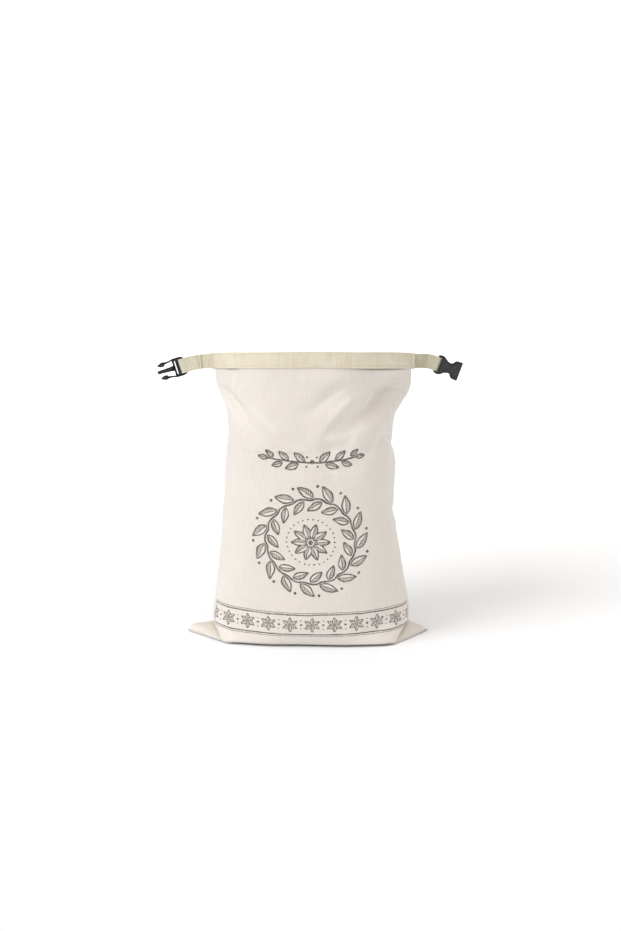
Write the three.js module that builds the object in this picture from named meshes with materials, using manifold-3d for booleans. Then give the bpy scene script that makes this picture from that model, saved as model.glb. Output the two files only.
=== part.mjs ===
// Roll-top bread bag of waxed cotton, standing open on its base. A front and a back panel are sewn
// together at the sides and the bottom. A ribbed webbing tape is sewn round the outside of the mouth,
// and a webbing tab at each corner of the mouth holds one half of a side-release buckle.
// Millimetres, +Z up. The printed front looks along -Y and the side seams lie on the plane Y = 0.
import * as THREE from 'three';
import Module from 'manifold-3d';
import { mergeVertices } from 'three/addons/utils/BufferGeometryUtils.js';

const wasm = await Module();
wasm.setup();
const { clamp, lerp, degToRad } = THREE.MathUtils;

// The cut cloth: each panel is a rectangle of this size, laid out by s across, from the middle line, and by
// reach up from the bottom seam.
const CUT_WIDTH = 350;
const CUT_LENGTH = 486;
const HALF_CUT = CUT_WIDTH / 2;
const CLOTH_THICKNESS = 1.5;

// Sewn pieces lie this far apart, and a panel's sewn edge lies half of it from the seam's plane.
const GAP = 0.3;
const HALF_GAP = GAP / 2;

// The ear is the corner of the bottom seam, folded flat on itself at 45 degrees.
const EAR_REACH = 52;
const EAR_DOUBLE = 3.4;
const EAR_LIP = 6;
const EAR_FADES = 100;
const EAR_FOLD_INSET = 3;

// Webbing
const TAPE_HEIGHT = 22;
const TAPE_THICKNESS = 1.2;
const TAPE_RISE = 0.7;
const TAPE_PAST_SEAM = 4.5;
const TAB_WIDTH = 20;
const TAB_THICKNESS = 1.3;
const TAB_FROM_SEAM = 0.8;

// Buckle
const BUCKLE_WIDTH = 26;
const PIN_RADIUS = 1.5;
const RAIL_GAP = 0.4;
const MALE_THICKNESS = 7;
const FEMALE_THICKNESS = 8.6;

// A table written with its column names once.
function table(columns, rows) {
  return rows.map((row) => Object.fromEntries(columns.map((name, i) => [name, row[i]])));
}

// Level sections through the standing bag, one for each reach up the cloth. left and right are the half
// widths at the side seams, front and back the half depths, and pinch is how far the section narrows to a
// lens at the side seams. middle is the height at the front's middle line, sag how much lower the back
// is, and sideLeft and sideRight are the heights at the seams.
const SECTIONS = table(
  ['reach', 'left', 'right', 'front', 'back', 'pinch', 'middle', 'sag', 'sideLeft', 'sideRight'],
  [
    [0, 179.3, 170.7, 0, 0, 0, 0, 0, 2.5, 3.6],
    [10, 169.8, 161.2, 10, 10, 0, 0, 0, 12, 8.5],
    [20, 159.8, 151.2, 20, 20, 0, 0, 0, 12.5, 12.5],
    [31, 148.8, 141, 31, 31, 0, 0, 0, 12.3, 16.5],
    [42, 138, 131.2, 41.6, 42, 0, 0, 0, 10.8, 14],
    [52, 130, 122, 51.5, 52, 0.03, 0, 0, 8.5, 10.5],
    [60, 127, 121, 57, 60, 0.11, 0.4, 0, 7.5, 8.5],
    [67, 131.5, 127.5, 64, 66, 0.08, 4, 0.5, 10, 11],
    [74, 137, 135.5, 67.5, 70, 0.04, 10.6, 1, 14, 15.5],
    [84, 141, 142, 69.8, 73, 0, 20.4, 1, 21.8, 22.5],
    [94, 141.6, 143.6, 72, 75, 0, 30.2, 1, 31, 31.5],
    [104, 140.9, 143.3, 74, 77, 0, 40, 1, 41, 41.2],
    [117, 138.8, 141.2, 76.4, 79, 0, 52.8, 1, 53.8, 53.8],
    [130, 136.7, 138.7, 78.6, 81, 0, 65.6, 1, 66.3, 66.3],
    [160, 133, 133, 82.4, 84, 0, 95.3, 1, 95.8, 95.8],
    [193, 129.4, 127.8, 85.8, 87, 0, 128.1, 1, 128.2, 128],
    [227, 125.8, 121.5, 88.3, 89.5, 0, 162, 1, 161.6, 161.4],
    [278, 121.7, 117.2, 90.8, 91.5, 0, 212.9, 1.5, 211.8, 211.5],
    [314, 119.4, 118.8, 91.3, 91.5, 0, 248.8, 2, 247.3, 247],
    [350, 115, 115.4, 90, 90.5, 0, 284.7, 4, 282.5, 282.5],
    [372, 113.2, 114.6, 88.5, 89.5, 0.1, 306.6, 6, 303.5, 303.5],
    [393, 113.8, 118, 87, 88, 0.3, 327.5, 9, 322.5, 322.5],
    [406, 116.2, 124.5, 86, 87, 0.45, 340.4, 11.5, 334, 334],
    [419, 122.5, 132, 85.2, 86, 0.6, 353.3, 14, 345.5, 345.5],
    [433, 128.6, 138.2, 85, 85.6, 0.72, 367.3, 16.5, 357.5, 357.5],
    [448, 131.6, 140.2, 85.6, 85.8, 0.82, 382.2, 19, 370.5, 370.5],
    [464.7, 132.6, 140, 86.6, 86.6, 0.86, 398.8, 21.5, 385.6, 385.6],
    [486, 134.2, 139.8, 88, 88, 0.88, 420, 23, 406.8, 406.8],
  ],
);

// The filled base is turned a little against the mouth: at the seams the front is this much deeper on the
// right than at the middle, and as much shallower on the left, up to a reach where it has faded out.
const BASE_TURN = 0.09;
const TURN_FADES = 230;

// Folds pressed into the filled bag, each along a bent line over the cut cloth. depth is outward, so a
// valley is negative. above and below are its half widths on the two sides of the line.
const FOLDS = [
  { panel: 'front', from: [-170, 438], bend: [-108, 425], to: [-78, 378], depth: -3.4, above: 8, below: 10 },
  { panel: 'front', from: [-88, 420], bend: [-66, 402], to: [-46, 376], depth: -1.5, above: 12, below: 12 },
  { panel: 'front', from: [60, 454], bend: [30, 430], to: [-4, 406], depth: -2.6, above: 12, below: 11 },
  { panel: 'front', from: [52, 430], bend: [24, 404], to: [10, 352], depth: 3.6, above: 13, below: 9 },
  { panel: 'front', from: [56, 416], bend: [36, 402], to: [18, 372], depth: -3, above: 7, below: 9 },
  { panel: 'front', from: [126, 440], bend: [80, 404], to: [20, 374], depth: -4.4, above: 11, below: 9 },
  { panel: 'front', from: [150, 392], bend: [90, 390], to: [36, 364], depth: 2.6, above: 9, below: 14 },
  { panel: 'front', from: [34, 357], bend: [24, 356], to: [12, 356], depth: -3, above: 8, below: 8 },
  { panel: 'front', from: [128, 376], bend: [92, 366], to: [40, 322], depth: -2.6, above: 10, below: 11 },
  { panel: 'front', from: [144, 444], bend: [130, 443], to: [116, 440], depth: -3.2, above: 8, below: 8 },
  { panel: 'front', from: [14, 356], bend: [-14, 316], to: [-12, 256], depth: 2.6, above: 30, below: 30 },
  { panel: 'front', from: [130, 104], bend: [98, 86], to: [62, 77], depth: -1.8, above: 8, below: 7 },
  { panel: 'back', from: [168, 436], bend: [112, 420], to: [84, 372], depth: -3.8, above: 8, below: 11 },
  { panel: 'back', from: [-150, 436], bend: [-90, 404], to: [-22, 376], depth: -4.4, above: 12, below: 10 },
  { panel: 'back', from: [-64, 418], bend: [-26, 398], to: [-6, 342], depth: 3.2, above: 13, below: 10 },
  { panel: 'back', from: [130, 366], bend: [84, 352], to: [40, 310], depth: -2.4, above: 11, below: 12 },
];

// Dents where the cloth is drawn in at a side seam, on both panels alike.
const SEAM_DENTS = [
  { side: 1, reach: 255, tall: 9, deep: 26, depth: 4.8 },
  { side: 1, reach: 352, tall: 7, deep: 24, depth: 4 },
  { side: -1, reach: 398, tall: 8, deep: 20, depth: 1.5 },
];

// Value of one column of the sections between its rows, on a curve that never overshoots them.
function readSections(column, reach) {
  const last = SECTIONS.length - 1;
  const next = SECTIONS.findIndex((row) => row.reach > reach);
  const k = next < 0 ? last - 1 : next - 1;
  const rowSpan = (i) => SECTIONS[i + 1].reach - SECTIONS[i].reach;
  const slope = (i) => (SECTIONS[i + 1][column] - SECTIONS[i][column]) / rowSpan(i);
  const tangent = (i) => {
    if (i === 0 || i === last) return slope(Math.min(i, last - 1));
    const before = slope(i - 1);
    const after = slope(i);
    return before * after > 0 ? (2 * before * after) / (before + after) : 0;
  };
  const span = rowSpan(k);
  const t = (reach - SECTIONS[k].reach) / span;
  const rise = SECTIONS[k + 1][column] - SECTIONS[k][column];
  const startPull = tangent(k) * span * t * (1 - t) ** 2;
  const endPull = tangent(k + 1) * span * t ** 2 * (t - 1);
  return SECTIONS[k][column] + rise * t * t * (3 - 2 * t) + startPull + endPull;
}

// A quarter of a section's outline, from the panel's middle line to the side seam: a superellipse that
// narrows to a lens where it is pinched.
const QUARTER_STEPS = 48;
function quarterOutline(width, depth, pinch, turn, squareness) {
  const points = [];
  for (let i = 0; i <= QUARTER_STEPS; i++) {
    const angle = (Math.PI / 2) * (1 - i / QUARTER_STEPS);
    const c = Math.cos(angle);
    const s = Math.sin(angle);
    const radius = (c ** squareness + s ** squareness) ** (-1 / squareness);
    const across = radius * c;
    const drawnIn = (1 - pinch * across ** 4) * (1 + turn * across);
    points.push([width * across, depth * radius * s * drawnIn]);
  }
  return points;
}

function lengthsAlong(points) {
  const lengths = [0];
  for (let i = 1; i < points.length; i++) {
    const [dx, dy] = [0, 1].map((axis) => points[i][axis] - points[i - 1][axis]);
    lengths.push(lengths[i - 1] + Math.hypot(dx, dy));
  }
  return lengths;
}

// A panel's outline at one reach, from the left seam to the right one. Cloth doesn't stretch, so the
// outline is made as square as it takes to measure the cut width.
const SOFTEST = 1.2;
const SQUAREST = 60;
const outlines = new Map();
function panelOutline(panel, reach) {
  const key = panel + reach;
  if (outlines.has(key)) return outlines.get(key);
  const columns = ['left', 'right', panel, 'pinch'];
  const [left, right, depth, pinch] = columns.map((column) => readSections(column, reach));
  const turn = (panel === 'front' ? 1 : -1) * BASE_TURN * clamp(1 - reach / TURN_FADES, 0, 1);
  const outlineAt = (squareness) => {
    const toLeft = quarterOutline(left, depth, pinch, -turn, squareness).map(([x, y]) => [-x, y]);
    return [...toLeft.reverse(), ...quarterOutline(right, depth, pinch, turn, squareness).slice(1)];
  };
  let [low, high] = [SOFTEST, SQUAREST];
  for (let i = 0; i < 24; i++) {
    const middle = (low + high) / 2;
    if (lengthsAlong(outlineAt(middle)).at(-1) < CUT_WIDTH) low = middle;
    else high = middle;
  }
  const points = outlineAt(low);
  const outline = { points, lengths: lengthsAlong(points) };
  outlines.set(key, outline);
  return outline;
}

function pointOnOutline({ points, lengths }, s) {
  const along = clamp((s + HALF_CUT) / CUT_WIDTH, 0, 1) * lengths.at(-1);
  const i = clamp(lengths.findIndex((length) => length >= along), 1, points.length - 1);
  const step = lengths[i] - lengths[i - 1];
  const t = step > 0 ? (along - lengths[i - 1]) / step : 0;
  return [0, 1].map((axis) => lerp(points[i - 1][axis], points[i][axis], t));
}

// Near the mouth the back dips down close to the side seams and then runs level.
const EVEN_BOW = 2;
const BACK_LIP_BOW = 6;
const DIP_STARTS = 372;

// Height of the cloth. On the ear the cloth outside the fold lies on the floor, and the cloth between
// the fold and the side seam comes back over it.
function heightAt(panel, s, reach) {
  const dipped = panel === 'back' ? clamp((reach - DIP_STARTS) / (CUT_LENGTH - DIP_STARTS), 0, 1) : 0;
  const toSide = Math.abs(s / HALF_CUT) ** lerp(EVEN_BOW, BACK_LIP_BOW, dipped);
  const sag = panel === 'back' ? readSections('sag', reach) : 0;
  const middle = readSections('middle', reach) - sag;
  const side = readSections(s < 0 ? 'sideLeft' : 'sideRight', reach);
  const fromSeam = HALF_CUT - Math.abs(s);
  if (reach > EAR_FADES) return lerp(middle, side, toSide);
  const fold = Math.min(reach, EAR_REACH);
  const up = fold > 0 ? clamp(1 - fromSeam / fold, 0, 1) : Number(fromSeam === 0);
  const doubled = Math.max(middle, EAR_DOUBLE);
  const upper = lerp(doubled, Math.max(side, doubled), up * (2 - up));
  const turned = (clamp((fold - fromSeam) / EAR_LIP, -1, 1) + 1) / 2;
  const blended = clamp((reach - EAR_REACH) / (EAR_FADES - EAR_REACH), 0, 1);
  return lerp(lerp(middle, upper, turned), lerp(middle, side, toSide), blended);
}

// How far the folds and dents push the cloth outward.
const FOLD_STEPS = 40;
function foldProfile(fold, s, reach) {
  let nearest = { distance: Infinity };
  for (let i = 0; i <= FOLD_STEPS; i++) {
    const t = i / FOLD_STEPS;
    const [x, y] = [0, 1].map((axis) => {
      const toBend = lerp(fold.from[axis], fold.bend[axis], t);
      return lerp(toBend, lerp(fold.bend[axis], fold.to[axis], t), t);
    });
    const distance = Math.hypot(s - x, reach - y);
    if (distance < nearest.distance) nearest = { distance, t, over: reach - y };
  }
  const halfWidth = nearest.over > 0 ? fold.above : fold.below;
  const taper = Math.sin(Math.PI * clamp(0.12 + 0.8 * nearest.t, 0, 1));
  return fold.depth * taper * Math.exp(-((nearest.distance / halfWidth) ** 2));
}

function reliefAt(panel, s, reach) {
  const fromSeam = HALF_CUT - Math.abs(s);
  const belowTape = clamp((CUT_LENGTH - TAPE_HEIGHT - reach) / 14, 0, 1);
  const offSeam = clamp(fromSeam / 20, 0, 1);
  let push = 0;
  for (const fold of FOLDS) {
    if (fold.panel === panel) push += offSeam * foldProfile(fold, s, reach);
  }
  for (const dent of SEAM_DENTS) {
    if (Math.sign(s) !== dent.side) continue;
    push -= dent.depth * Math.exp(-(((reach - dent.reach) / dent.tall) ** 2) - (fromSeam / dent.deep) ** 2);
  }
  return push * belowTape;
}

// A point of a panel's outer face, or of a face that stands proud of it.
const OUTWARD_STEP = 3;
function onCloth(panel, s, reach, proud = 0) {
  const outline = panelOutline(panel, reach);
  const [x, y] = pointOnOutline(outline, s);
  const [x0, y0] = pointOnOutline(outline, s - OUTWARD_STEP);
  const [x1, y1] = pointOnOutline(outline, s + OUTWARD_STEP);
  const onSeam = Math.abs(s) === HALF_CUT;
  const outward = onSeam ? [Math.sign(s), 0] : new THREE.Vector2(y0 - y1, x1 - x0).normalize().toArray();
  const push = proud + reliefAt(panel, s, reach);
  const forward = panel === 'front' ? -1 : 1;
  const depth = onSeam ? HALF_GAP : y + HALF_GAP + outward[1] * push;
  return new THREE.Vector3(x + outward[0] * push, forward * depth, heightAt(panel, s, reach));
}

// A closed sheet between two grids of points, outer and inner, each a list of rows. Right of the middle
// line its squares are cut along the ear's other diagonal, so that the fold runs along their edges.
function sheetBetween(outer, inner, facesForward) {
  const rows = outer.length;
  const columns = outer[0].length;
  const position = [...outer.flat(), ...inner.flat()].flatMap((point) => point.toArray());
  const index = [];
  const at = (side, row, column) => (side * rows + row) * columns + column;
  const triangle = (a, b, c) => index.push(...(facesForward ? [a, b, c] : [a, c, b]));
  const square = (a, b, c, d) => {
    triangle(a, b, c);
    triangle(a, c, d);
  };
  for (let row = 0; row < rows - 1; row++) {
    for (let column = 0; column < columns - 1; column++) {
      for (const side of [0, 1]) {
        const [a, b] = [at(side, row, column), at(side, row, column + 1)];
        const [d, c] = [at(side, row + 1, column), at(side, row + 1, column + 1)];
        const ring = column < (columns - 1) / 2 ? [a, b, c, d] : [b, c, d, a];
        square(...(side ? ring.reverse() : ring));
      }
    }
  }
  for (let column = 0; column < columns - 1; column++) {
    square(at(1, 0, column), at(1, 0, column + 1), at(0, 0, column + 1), at(0, 0, column));
    const top = rows - 1;
    square(at(0, top, column), at(0, top, column + 1), at(1, top, column + 1), at(1, top, column));
  }
  for (let row = 0; row < rows - 1; row++) {
    square(at(1, row, 0), at(0, row, 0), at(0, row + 1, 0), at(1, row + 1, 0));
    const end = columns - 1;
    square(at(0, row, end), at(1, row, end), at(1, row + 1, end), at(0, row + 1, end));
  }
  const geometry = new THREE.BufferGeometry();
  geometry.setAttribute('position', new THREE.Float32BufferAttribute(position, 3));
  geometry.setIndex(index);
  return geometry;
}

// Spacing of the panels' grid. Near the bottom corners both steps are equal, so the ear's fold passes
// through the grid's points.
const EAR_STEPS = [0, 10, 20, 30, 40, 46, 52];
const TAPE_FOOT = CUT_LENGTH + TAPE_RISE - TAPE_HEIGHT;
const TAPE_ROWS = [TAPE_FOOT, CUT_LENGTH - 10, CUT_LENGTH];
const WALL_ROWS = [59, 66, 74, 84, 95, 110, 129, 151, 176, 202, 228, 249, 265, 281, 298, 313];
const NECK_ROWS = [326, 337, 347, 356, 365, 374, 382, 390, 398, 406, 414, 422, 431, 441, 452];
const ROWS = [...EAR_STEPS, ...WALL_ROWS, ...NECK_ROWS, ...TAPE_ROWS];
const HALF_COLUMNS = [...EAR_STEPS, 61, 70, 79, 88, 97, 107, 117, 127, 137, 147, 157, 166];
const COLUMNS = [
  ...HALF_COLUMNS.map((inset) => inset - HALF_CUT),
  0,
  ...HALF_COLUMNS.map((inset) => HALF_CUT - inset).reverse(),
];

// The inner face of a grid of outer points, one cloth thickness in. A sewn edge stays in the seam's
// plane, and the ear's fold moves in level.
function innerFace(outer, facesForward) {
  const last = [outer.length - 1, outer[0].length - 1];
  return outer.map((row, i) => row.map((point, j) => {
    const up = outer[Math.min(i + 1, last[0])][j].clone().sub(outer[Math.max(i - 1, 0)][j]);
    const across = row[Math.min(j + 1, last[1])].clone().sub(row[Math.max(j - 1, 0)]);
    const normal = across.cross(up).normalize().multiplyScalar(facesForward ? 1 : -1);
    const sewn = i === 0 || j === 0 || j === last[1];
    const fold = HALF_CUT - Math.abs(COLUMNS[j]) === ROWS[i] && ROWS[i] <= EAR_REACH;
    if (fold) {
      normal.z = 0;
      normal.y = i === 0 ? 0 : normal.y;
      return point.clone().addScaledVector(normal.normalize(), -EAR_FOLD_INSET);
    }
    if (sewn) normal.y = 0;
    const flat = normal.length();
    const depth = Math.min(CLOTH_THICKNESS / flat, 2 * CLOTH_THICKNESS);
    return point.clone().addScaledVector(normal.normalize(), -depth);
  }));
}

function panelGeometry(panel) {
  const facesForward = panel === 'front';
  const outer = ROWS.map((reach) => COLUMNS.map((s) => onCloth(panel, s, reach)));
  return sheetBetween(outer, innerFace(outer, facesForward), facesForward);
}

// The mouth tape lies on the cloth and runs on flat past both side seams, where it clamps the tabs.
function tapeGeometry(panel) {
  const facesForward = panel === 'front';
  const forward = facesForward ? -1 : 1;
  const faceAt = (proud) => TAPE_ROWS.map((reach, row) => {
    const along = COLUMNS.slice(1, -1).map((s) => onCloth(panel, s, reach, proud));
    const flangeY = HALF_GAP + TAB_THICKNESS + proud;
    const flange = (side) => {
      const seam = onCloth(panel, side * HALF_CUT, reach);
      const next = side < 0 ? along[0] : along.at(-1);
      const cloth = onCloth(panel, side * (HALF_CUT - EAR_STEPS[1]), reach);
      const run = new THREE.Vector2(seam.x - cloth.x, seam.y - cloth.y);
      const t = (forward * flangeY - next.y) / run.y;
      const bend = new THREE.Vector3(next.x + t * run.x, forward * flangeY, seam.z);
      const end = new THREE.Vector3(seam.x + side * TAPE_PAST_SEAM, forward * flangeY, seam.z);
      return side < 0 ? [end, bend] : [bend, end];
    };
    const points = [...flange(-1), ...along, ...flange(1)];
    if (row === TAPE_ROWS.length - 1) points.forEach((point) => { point.z += TAPE_RISE; });
    return points;
  });
  return sheetBetween(faceAt(GAP + TAPE_THICKNESS), faceAt(GAP), facesForward);
}

// The tabs hang out from the corners of the mouth, level at first and then drooping to the buckle's angle.
const TAPE_MIDDLE = readSections('sideLeft', CUT_LENGTH) + TAPE_RISE - TAPE_HEIGHT / 2;
const TABS = {
  left: { side: -1, level: 0, bent: 38.8, droop: 16.5 },
  right: { side: 1, level: 15.4, bent: 15.2, droop: 19.5 },
};
const LOOP_TAIL = 5;
const LOOP_RADIUS = PIN_RADIUS + GAP;
const LOOP_OPENS = 9;

// Place on a tab's middle line, as [outward, up, angle below level], at a distance from its root.
function alongTab({ level, bent, droop }, distance) {
  const full = degToRad(droop);
  const inBend = clamp(distance - level, 0, bent);
  const angle = (full * inBend) / bent;
  const radius = bent / full;
  const straight = Math.max(distance - level - bent, 0);
  const outward = Math.min(distance, level) + radius * Math.sin(angle) + straight * Math.cos(angle);
  return [outward, -radius * (1 - Math.cos(angle)) - straight * Math.sin(angle), angle];
}

function tabRoot({ side }) {
  const width = readSections(side < 0 ? 'left' : 'right', CUT_LENGTH);
  return new THREE.Vector3(side * (width + TAB_FROM_SEAM), 0, TAPE_MIDDLE);
}

// One strip folded round the buckle's pin, its two ends together in the seam.
function tabGeometry(tab) {
  const length = tab.level + tab.bent + LOOP_TAIL;
  const steps = 8;
  const layer = (apart, radius) => {
    const points = [];
    for (let i = 0; i <= steps; i++) {
      const distance = (length * i) / steps;
      const open = clamp((distance - length + LOOP_OPENS) / LOOP_OPENS, 0, 1);
      points.push([distance, lerp(apart, radius, open * open * (3 - 2 * open))]);
    }
    return points;
  };
  const halfTurn = (radius) => {
    const turn = 6;
    return Array.from({ length: turn - 1 }, (_, i) => {
      const angle = (Math.PI * (i + 1)) / turn;
      return [length + radius * Math.sin(angle), radius * Math.cos(angle)];
    });
  };
  const side = (apart, radius) => {
    const top = layer(apart, radius);
    return [...top, ...halfTurn(radius), ...top.map(([x, y]) => [x, -y]).reverse()];
  };
  const outside = side(HALF_GAP + TAB_THICKNESS, LOOP_RADIUS + TAB_THICKNESS);
  const ring = [...outside, ...side(HALF_GAP, LOOP_RADIUS).reverse()];
  const profile = new THREE.Shape(ring.map(([x, y]) => new THREE.Vector2(x, y)));
  const strip = new THREE.ExtrudeGeometry(profile, { depth: TAB_WIDTH, steps: 1, bevelEnabled: false });
  const position = strip.getAttribute('position');
  const root = tabRoot(tab);
  for (let i = 0; i < position.count; i++) {
    const [outward, up, angle] = alongTab(tab, position.getX(i));
    const across = position.getZ(i) - TAB_WIDTH / 2;
    const x = root.x + tab.side * (outward + across * Math.sin(angle));
    position.setXYZ(i, x, tab.side * position.getY(i), root.z + up + across * Math.cos(angle));
  }
  return strip;
}

// Buckle halves are drawn with X along the buckle, away from the bag, Y through it and Z across the
// webbing. X = 0 is the edge that the webbing loop meets, and the pin inside the loop lies behind it.
const PIN_X = -(GAP + LOOP_RADIUS + TAB_THICKNESS);

function solid(geometry) {
  const closed = geometry.clone();
  closed.deleteAttribute('normal');
  closed.deleteAttribute('uv');
  const merged = mergeVertices(closed, 1e-4);
  const vertProperties = merged.attributes.position.array;
  const triVerts = new Uint32Array(merged.index.array);
  return new wasm.Manifold(new wasm.Mesh({ numProp: 3, vertProperties, triVerts }));
}

function geometryOf(made) {
  const { vertProperties, triVerts } = made.getMesh();
  const geometry = new THREE.BufferGeometry();
  geometry.setAttribute('position', new THREE.BufferAttribute(vertProperties, 3));
  geometry.setIndex(new THREE.BufferAttribute(triVerts, 1));
  return geometry;
}

// A plate cut to an outline in X and Z, lying between two values of Y.
function plate(outline, y0, y1) {
  const shape = new THREE.Shape(outline.map(([x, z]) => new THREE.Vector2(x, z)));
  const geometry = new THREE.ExtrudeGeometry(shape, { depth: y1 - y0, bevelEnabled: false });
  return solid(geometry.rotateX(Math.PI / 2).translate(0, y1, 0));
}

function block([x0, x1], [y0, y1], [z0, z1]) {
  const box = new THREE.BoxGeometry(x1 - x0, y1 - y0, z1 - z0);
  return solid(box.translate((x0 + x1) / 2, (y0 + y1) / 2, (z0 + z1) / 2));
}

// Both edges of an outline that is the same above and below the buckle's middle line.
const mirrored = (upper) => [...upper, ...upper.map(([x, z]) => [x, -z]).reverse()];

const pin = () => {
  const span = BUCKLE_WIDTH - 2;
  const rod = new THREE.CylinderGeometry(PIN_RADIUS, PIN_RADIUS, span, 12);
  return solid(rod.rotateX(Math.PI / 2).translate(PIN_X, 0, 0));
};

// Pronged half: a frame with a slot, a rail along each edge of the webbing, a middle guide and two sprung
// arms.
function maleGeometry() {
  const half = BUCKLE_WIDTH / 2;
  const depth = MALE_THICKNESS / 2;
  const inside = TAB_WIDTH / 2 + RAIL_GAP;
  const [backBar, slot, frontBar] = [3.7, 5.6, 8];
  const [railDepth, guideDepth, armDepth] = [2.6, 1.7, 2.1];
  const railTip = -8;
  const guideTip = 31.6;
  const frame = block([0, frontBar], [-depth, depth], [-half, half]);
  const slotCut = block([backBar, slot], [-depth - 1, depth + 1], [-inside + 1, inside - 1]);
  const railOutline = [
    [railTip, inside], [frontBar, inside], [frontBar, half], [-3, half], [railTip, inside + 1.2],
  ];
  const rail = plate(railOutline, -railDepth, railDepth);
  const guideEdge = [[frontBar - 1, 3.8], [frontBar + 7, 2.9], [guideTip - 0.8, 2.2], [guideTip, 1.4]];
  const guide = plate(mirrored(guideEdge), -guideDepth, guideDepth);
  const armOutline = [
    [frontBar - 1, 10.6], [frontBar - 1, 12.6], [14, 11.5], [18.8, 11.4], [20.6, 12.3], [24, 12.2],
    [29.2, 9.7], [29.2, 8.3], [25.4, 6.4], [20.4, 6.1], [19, 8.5], [13, 9.5],
  ];
  const arm = plate(armOutline.reverse(), -armDepth, armDepth);
  const flip = (piece) => piece.mirror([0, 0, 1]);
  const joined = [rail, flip(rail), guide, arm, flip(arm), pin()];
  return geometryOf(joined.reduce((whole, each) => whole.add(each), frame.subtract(slotCut)));
}

// Socket half: a waisted shell, open at its end and at the sides of its waist, with a horn along each
// edge of the webbing.
function femaleGeometry() {
  const depth = FEMALE_THICKNESS / 2;
  const length = 29.3;
  const inside = TAB_WIDTH / 2 + RAIL_GAP;
  const socketFloor = 8;
  const [socketDepth, socketHalf] = [2.7, 10.9];
  const upper = [
    [-5.4, inside], [-5.2, 11.6], [-3, 12.9], [0, 13.2], [3, 12.7], [5.6, 11], [8.4, 8.8], [11.6, 7.3],
    [14.6, 6.9], [17, 7.4], [20.2, 11.9], [22, 12.6], [length - 0.8, 13], [length, 12.4],
  ];
  const hornRoot = [[0, -inside], [0, inside]];
  const outline = [...mirrored(upper), ...hornRoot];
  const shell = plate(outline.reverse(), -depth, depth);
  const socket = block([socketFloor, length + 1], [-socketDepth, socketDepth], [-socketHalf, socketHalf]);
  return geometryOf(shell.subtract(socket).add(pin()));
}

// Materials
const cloth = new THREE.MeshStandardMaterial({ color: 0xe9e2d8, roughness: 0.72, metalness: 0 });
const clothBack = new THREE.MeshStandardMaterial({ color: 0xe6dfd4, roughness: 0.72, metalness: 0 });
const webbing = new THREE.MeshStandardMaterial({ color: 0xdfd8c4, roughness: 0.85, metalness: 0 });
const plastic = new THREE.MeshStandardMaterial({ color: 0x1b1b1c, roughness: 0.42, metalness: 0 });

function piece(name, geometry, material) {
  const mesh = new THREE.Mesh(geometry, material);
  mesh.name = name;
  return mesh;
}

// A buckle half hangs at the end of its tab, turned to the tab's last angle.
function hungBuckle(name, geometry, tab) {
  const mesh = piece(name, geometry, plastic);
  mesh.position.x = -PIN_X * tab.side;
  mesh.rotation.z = tab.side < 0 ? Math.PI : 0;
  const [outward, up, angle] = alongTab(tab, tab.level + tab.bent + LOOP_TAIL);
  const hanger = new THREE.Group();
  const root = tabRoot(tab);
  hanger.position.set(root.x + tab.side * outward, 0, root.z + up);
  hanger.rotation.y = tab.side * angle;
  hanger.add(mesh);
  return hanger;
}

// The bag is drawn from the middle of its bottom seam, and then set with its box centred on the origin.
const bag = new THREE.Group();
bag.add(piece('front_panel', panelGeometry('front'), cloth));
bag.add(piece('back_panel', panelGeometry('back'), clothBack));
bag.add(piece('mouth_tape_front', tapeGeometry('front'), webbing));
bag.add(piece('mouth_tape_back', tapeGeometry('back'), webbing));
bag.add(piece('tab_left', tabGeometry(TABS.left), webbing));
bag.add(piece('tab_right', tabGeometry(TABS.right), webbing));
bag.add(hungBuckle('buckle_male', maleGeometry(), TABS.left));
bag.add(hungBuckle('buckle_female', femaleGeometry(), TABS.right));
bag.updateMatrixWorld(true);
const middle = new THREE.Box3().setFromObject(bag, true).getCenter(new THREE.Vector3());
bag.position.set(-middle.x, -middle.y, 0);

export default bag;
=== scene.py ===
import math

import bpy
import numpy as np
from mathutils import Matrix, Vector


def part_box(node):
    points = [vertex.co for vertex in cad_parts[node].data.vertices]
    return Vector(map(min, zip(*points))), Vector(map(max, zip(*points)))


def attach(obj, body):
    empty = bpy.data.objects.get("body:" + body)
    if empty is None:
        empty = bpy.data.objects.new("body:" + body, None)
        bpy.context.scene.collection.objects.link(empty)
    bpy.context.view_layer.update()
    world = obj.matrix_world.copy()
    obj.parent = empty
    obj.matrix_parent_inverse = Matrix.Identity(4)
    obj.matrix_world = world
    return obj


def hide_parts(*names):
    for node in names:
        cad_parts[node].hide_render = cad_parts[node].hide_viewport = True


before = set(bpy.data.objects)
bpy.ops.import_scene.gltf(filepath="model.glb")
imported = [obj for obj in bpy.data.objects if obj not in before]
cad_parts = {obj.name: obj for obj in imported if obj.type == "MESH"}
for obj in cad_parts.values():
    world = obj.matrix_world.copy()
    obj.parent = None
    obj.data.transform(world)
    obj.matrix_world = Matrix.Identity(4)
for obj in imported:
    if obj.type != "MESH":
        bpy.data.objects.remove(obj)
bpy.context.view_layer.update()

# Camera. It stands in front of the bag's side seams and looks down on the bag. Its place and angle were
# fitted to the base, the seams and the lip. The middle of the bottom seam is the point that all is laid
# out from, in millimetres, and MM turns that into the scene's metres.
MM = 0.001
BOTTOM_SEAM_LEFT = 179.3
SEWN_EDGE = 0.15
front_low, front_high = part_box("front_panel")
SEAM_MIDDLE = np.array([front_low.x + BOTTOM_SEAM_LEFT * MM, front_high.y + SEWN_EDGE * MM, 0.0])
CAMERA_FROM_SEAM = (0.0, -1.65, 0.616)
CAMERA_LOOKS_DOWN = 14
FOCAL_LENGTH_PIXELS = 1196
PHOTO_HEIGHT_PIXELS = 931
AXIS_BELOW_MIDDLE_PIXELS = 30

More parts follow.
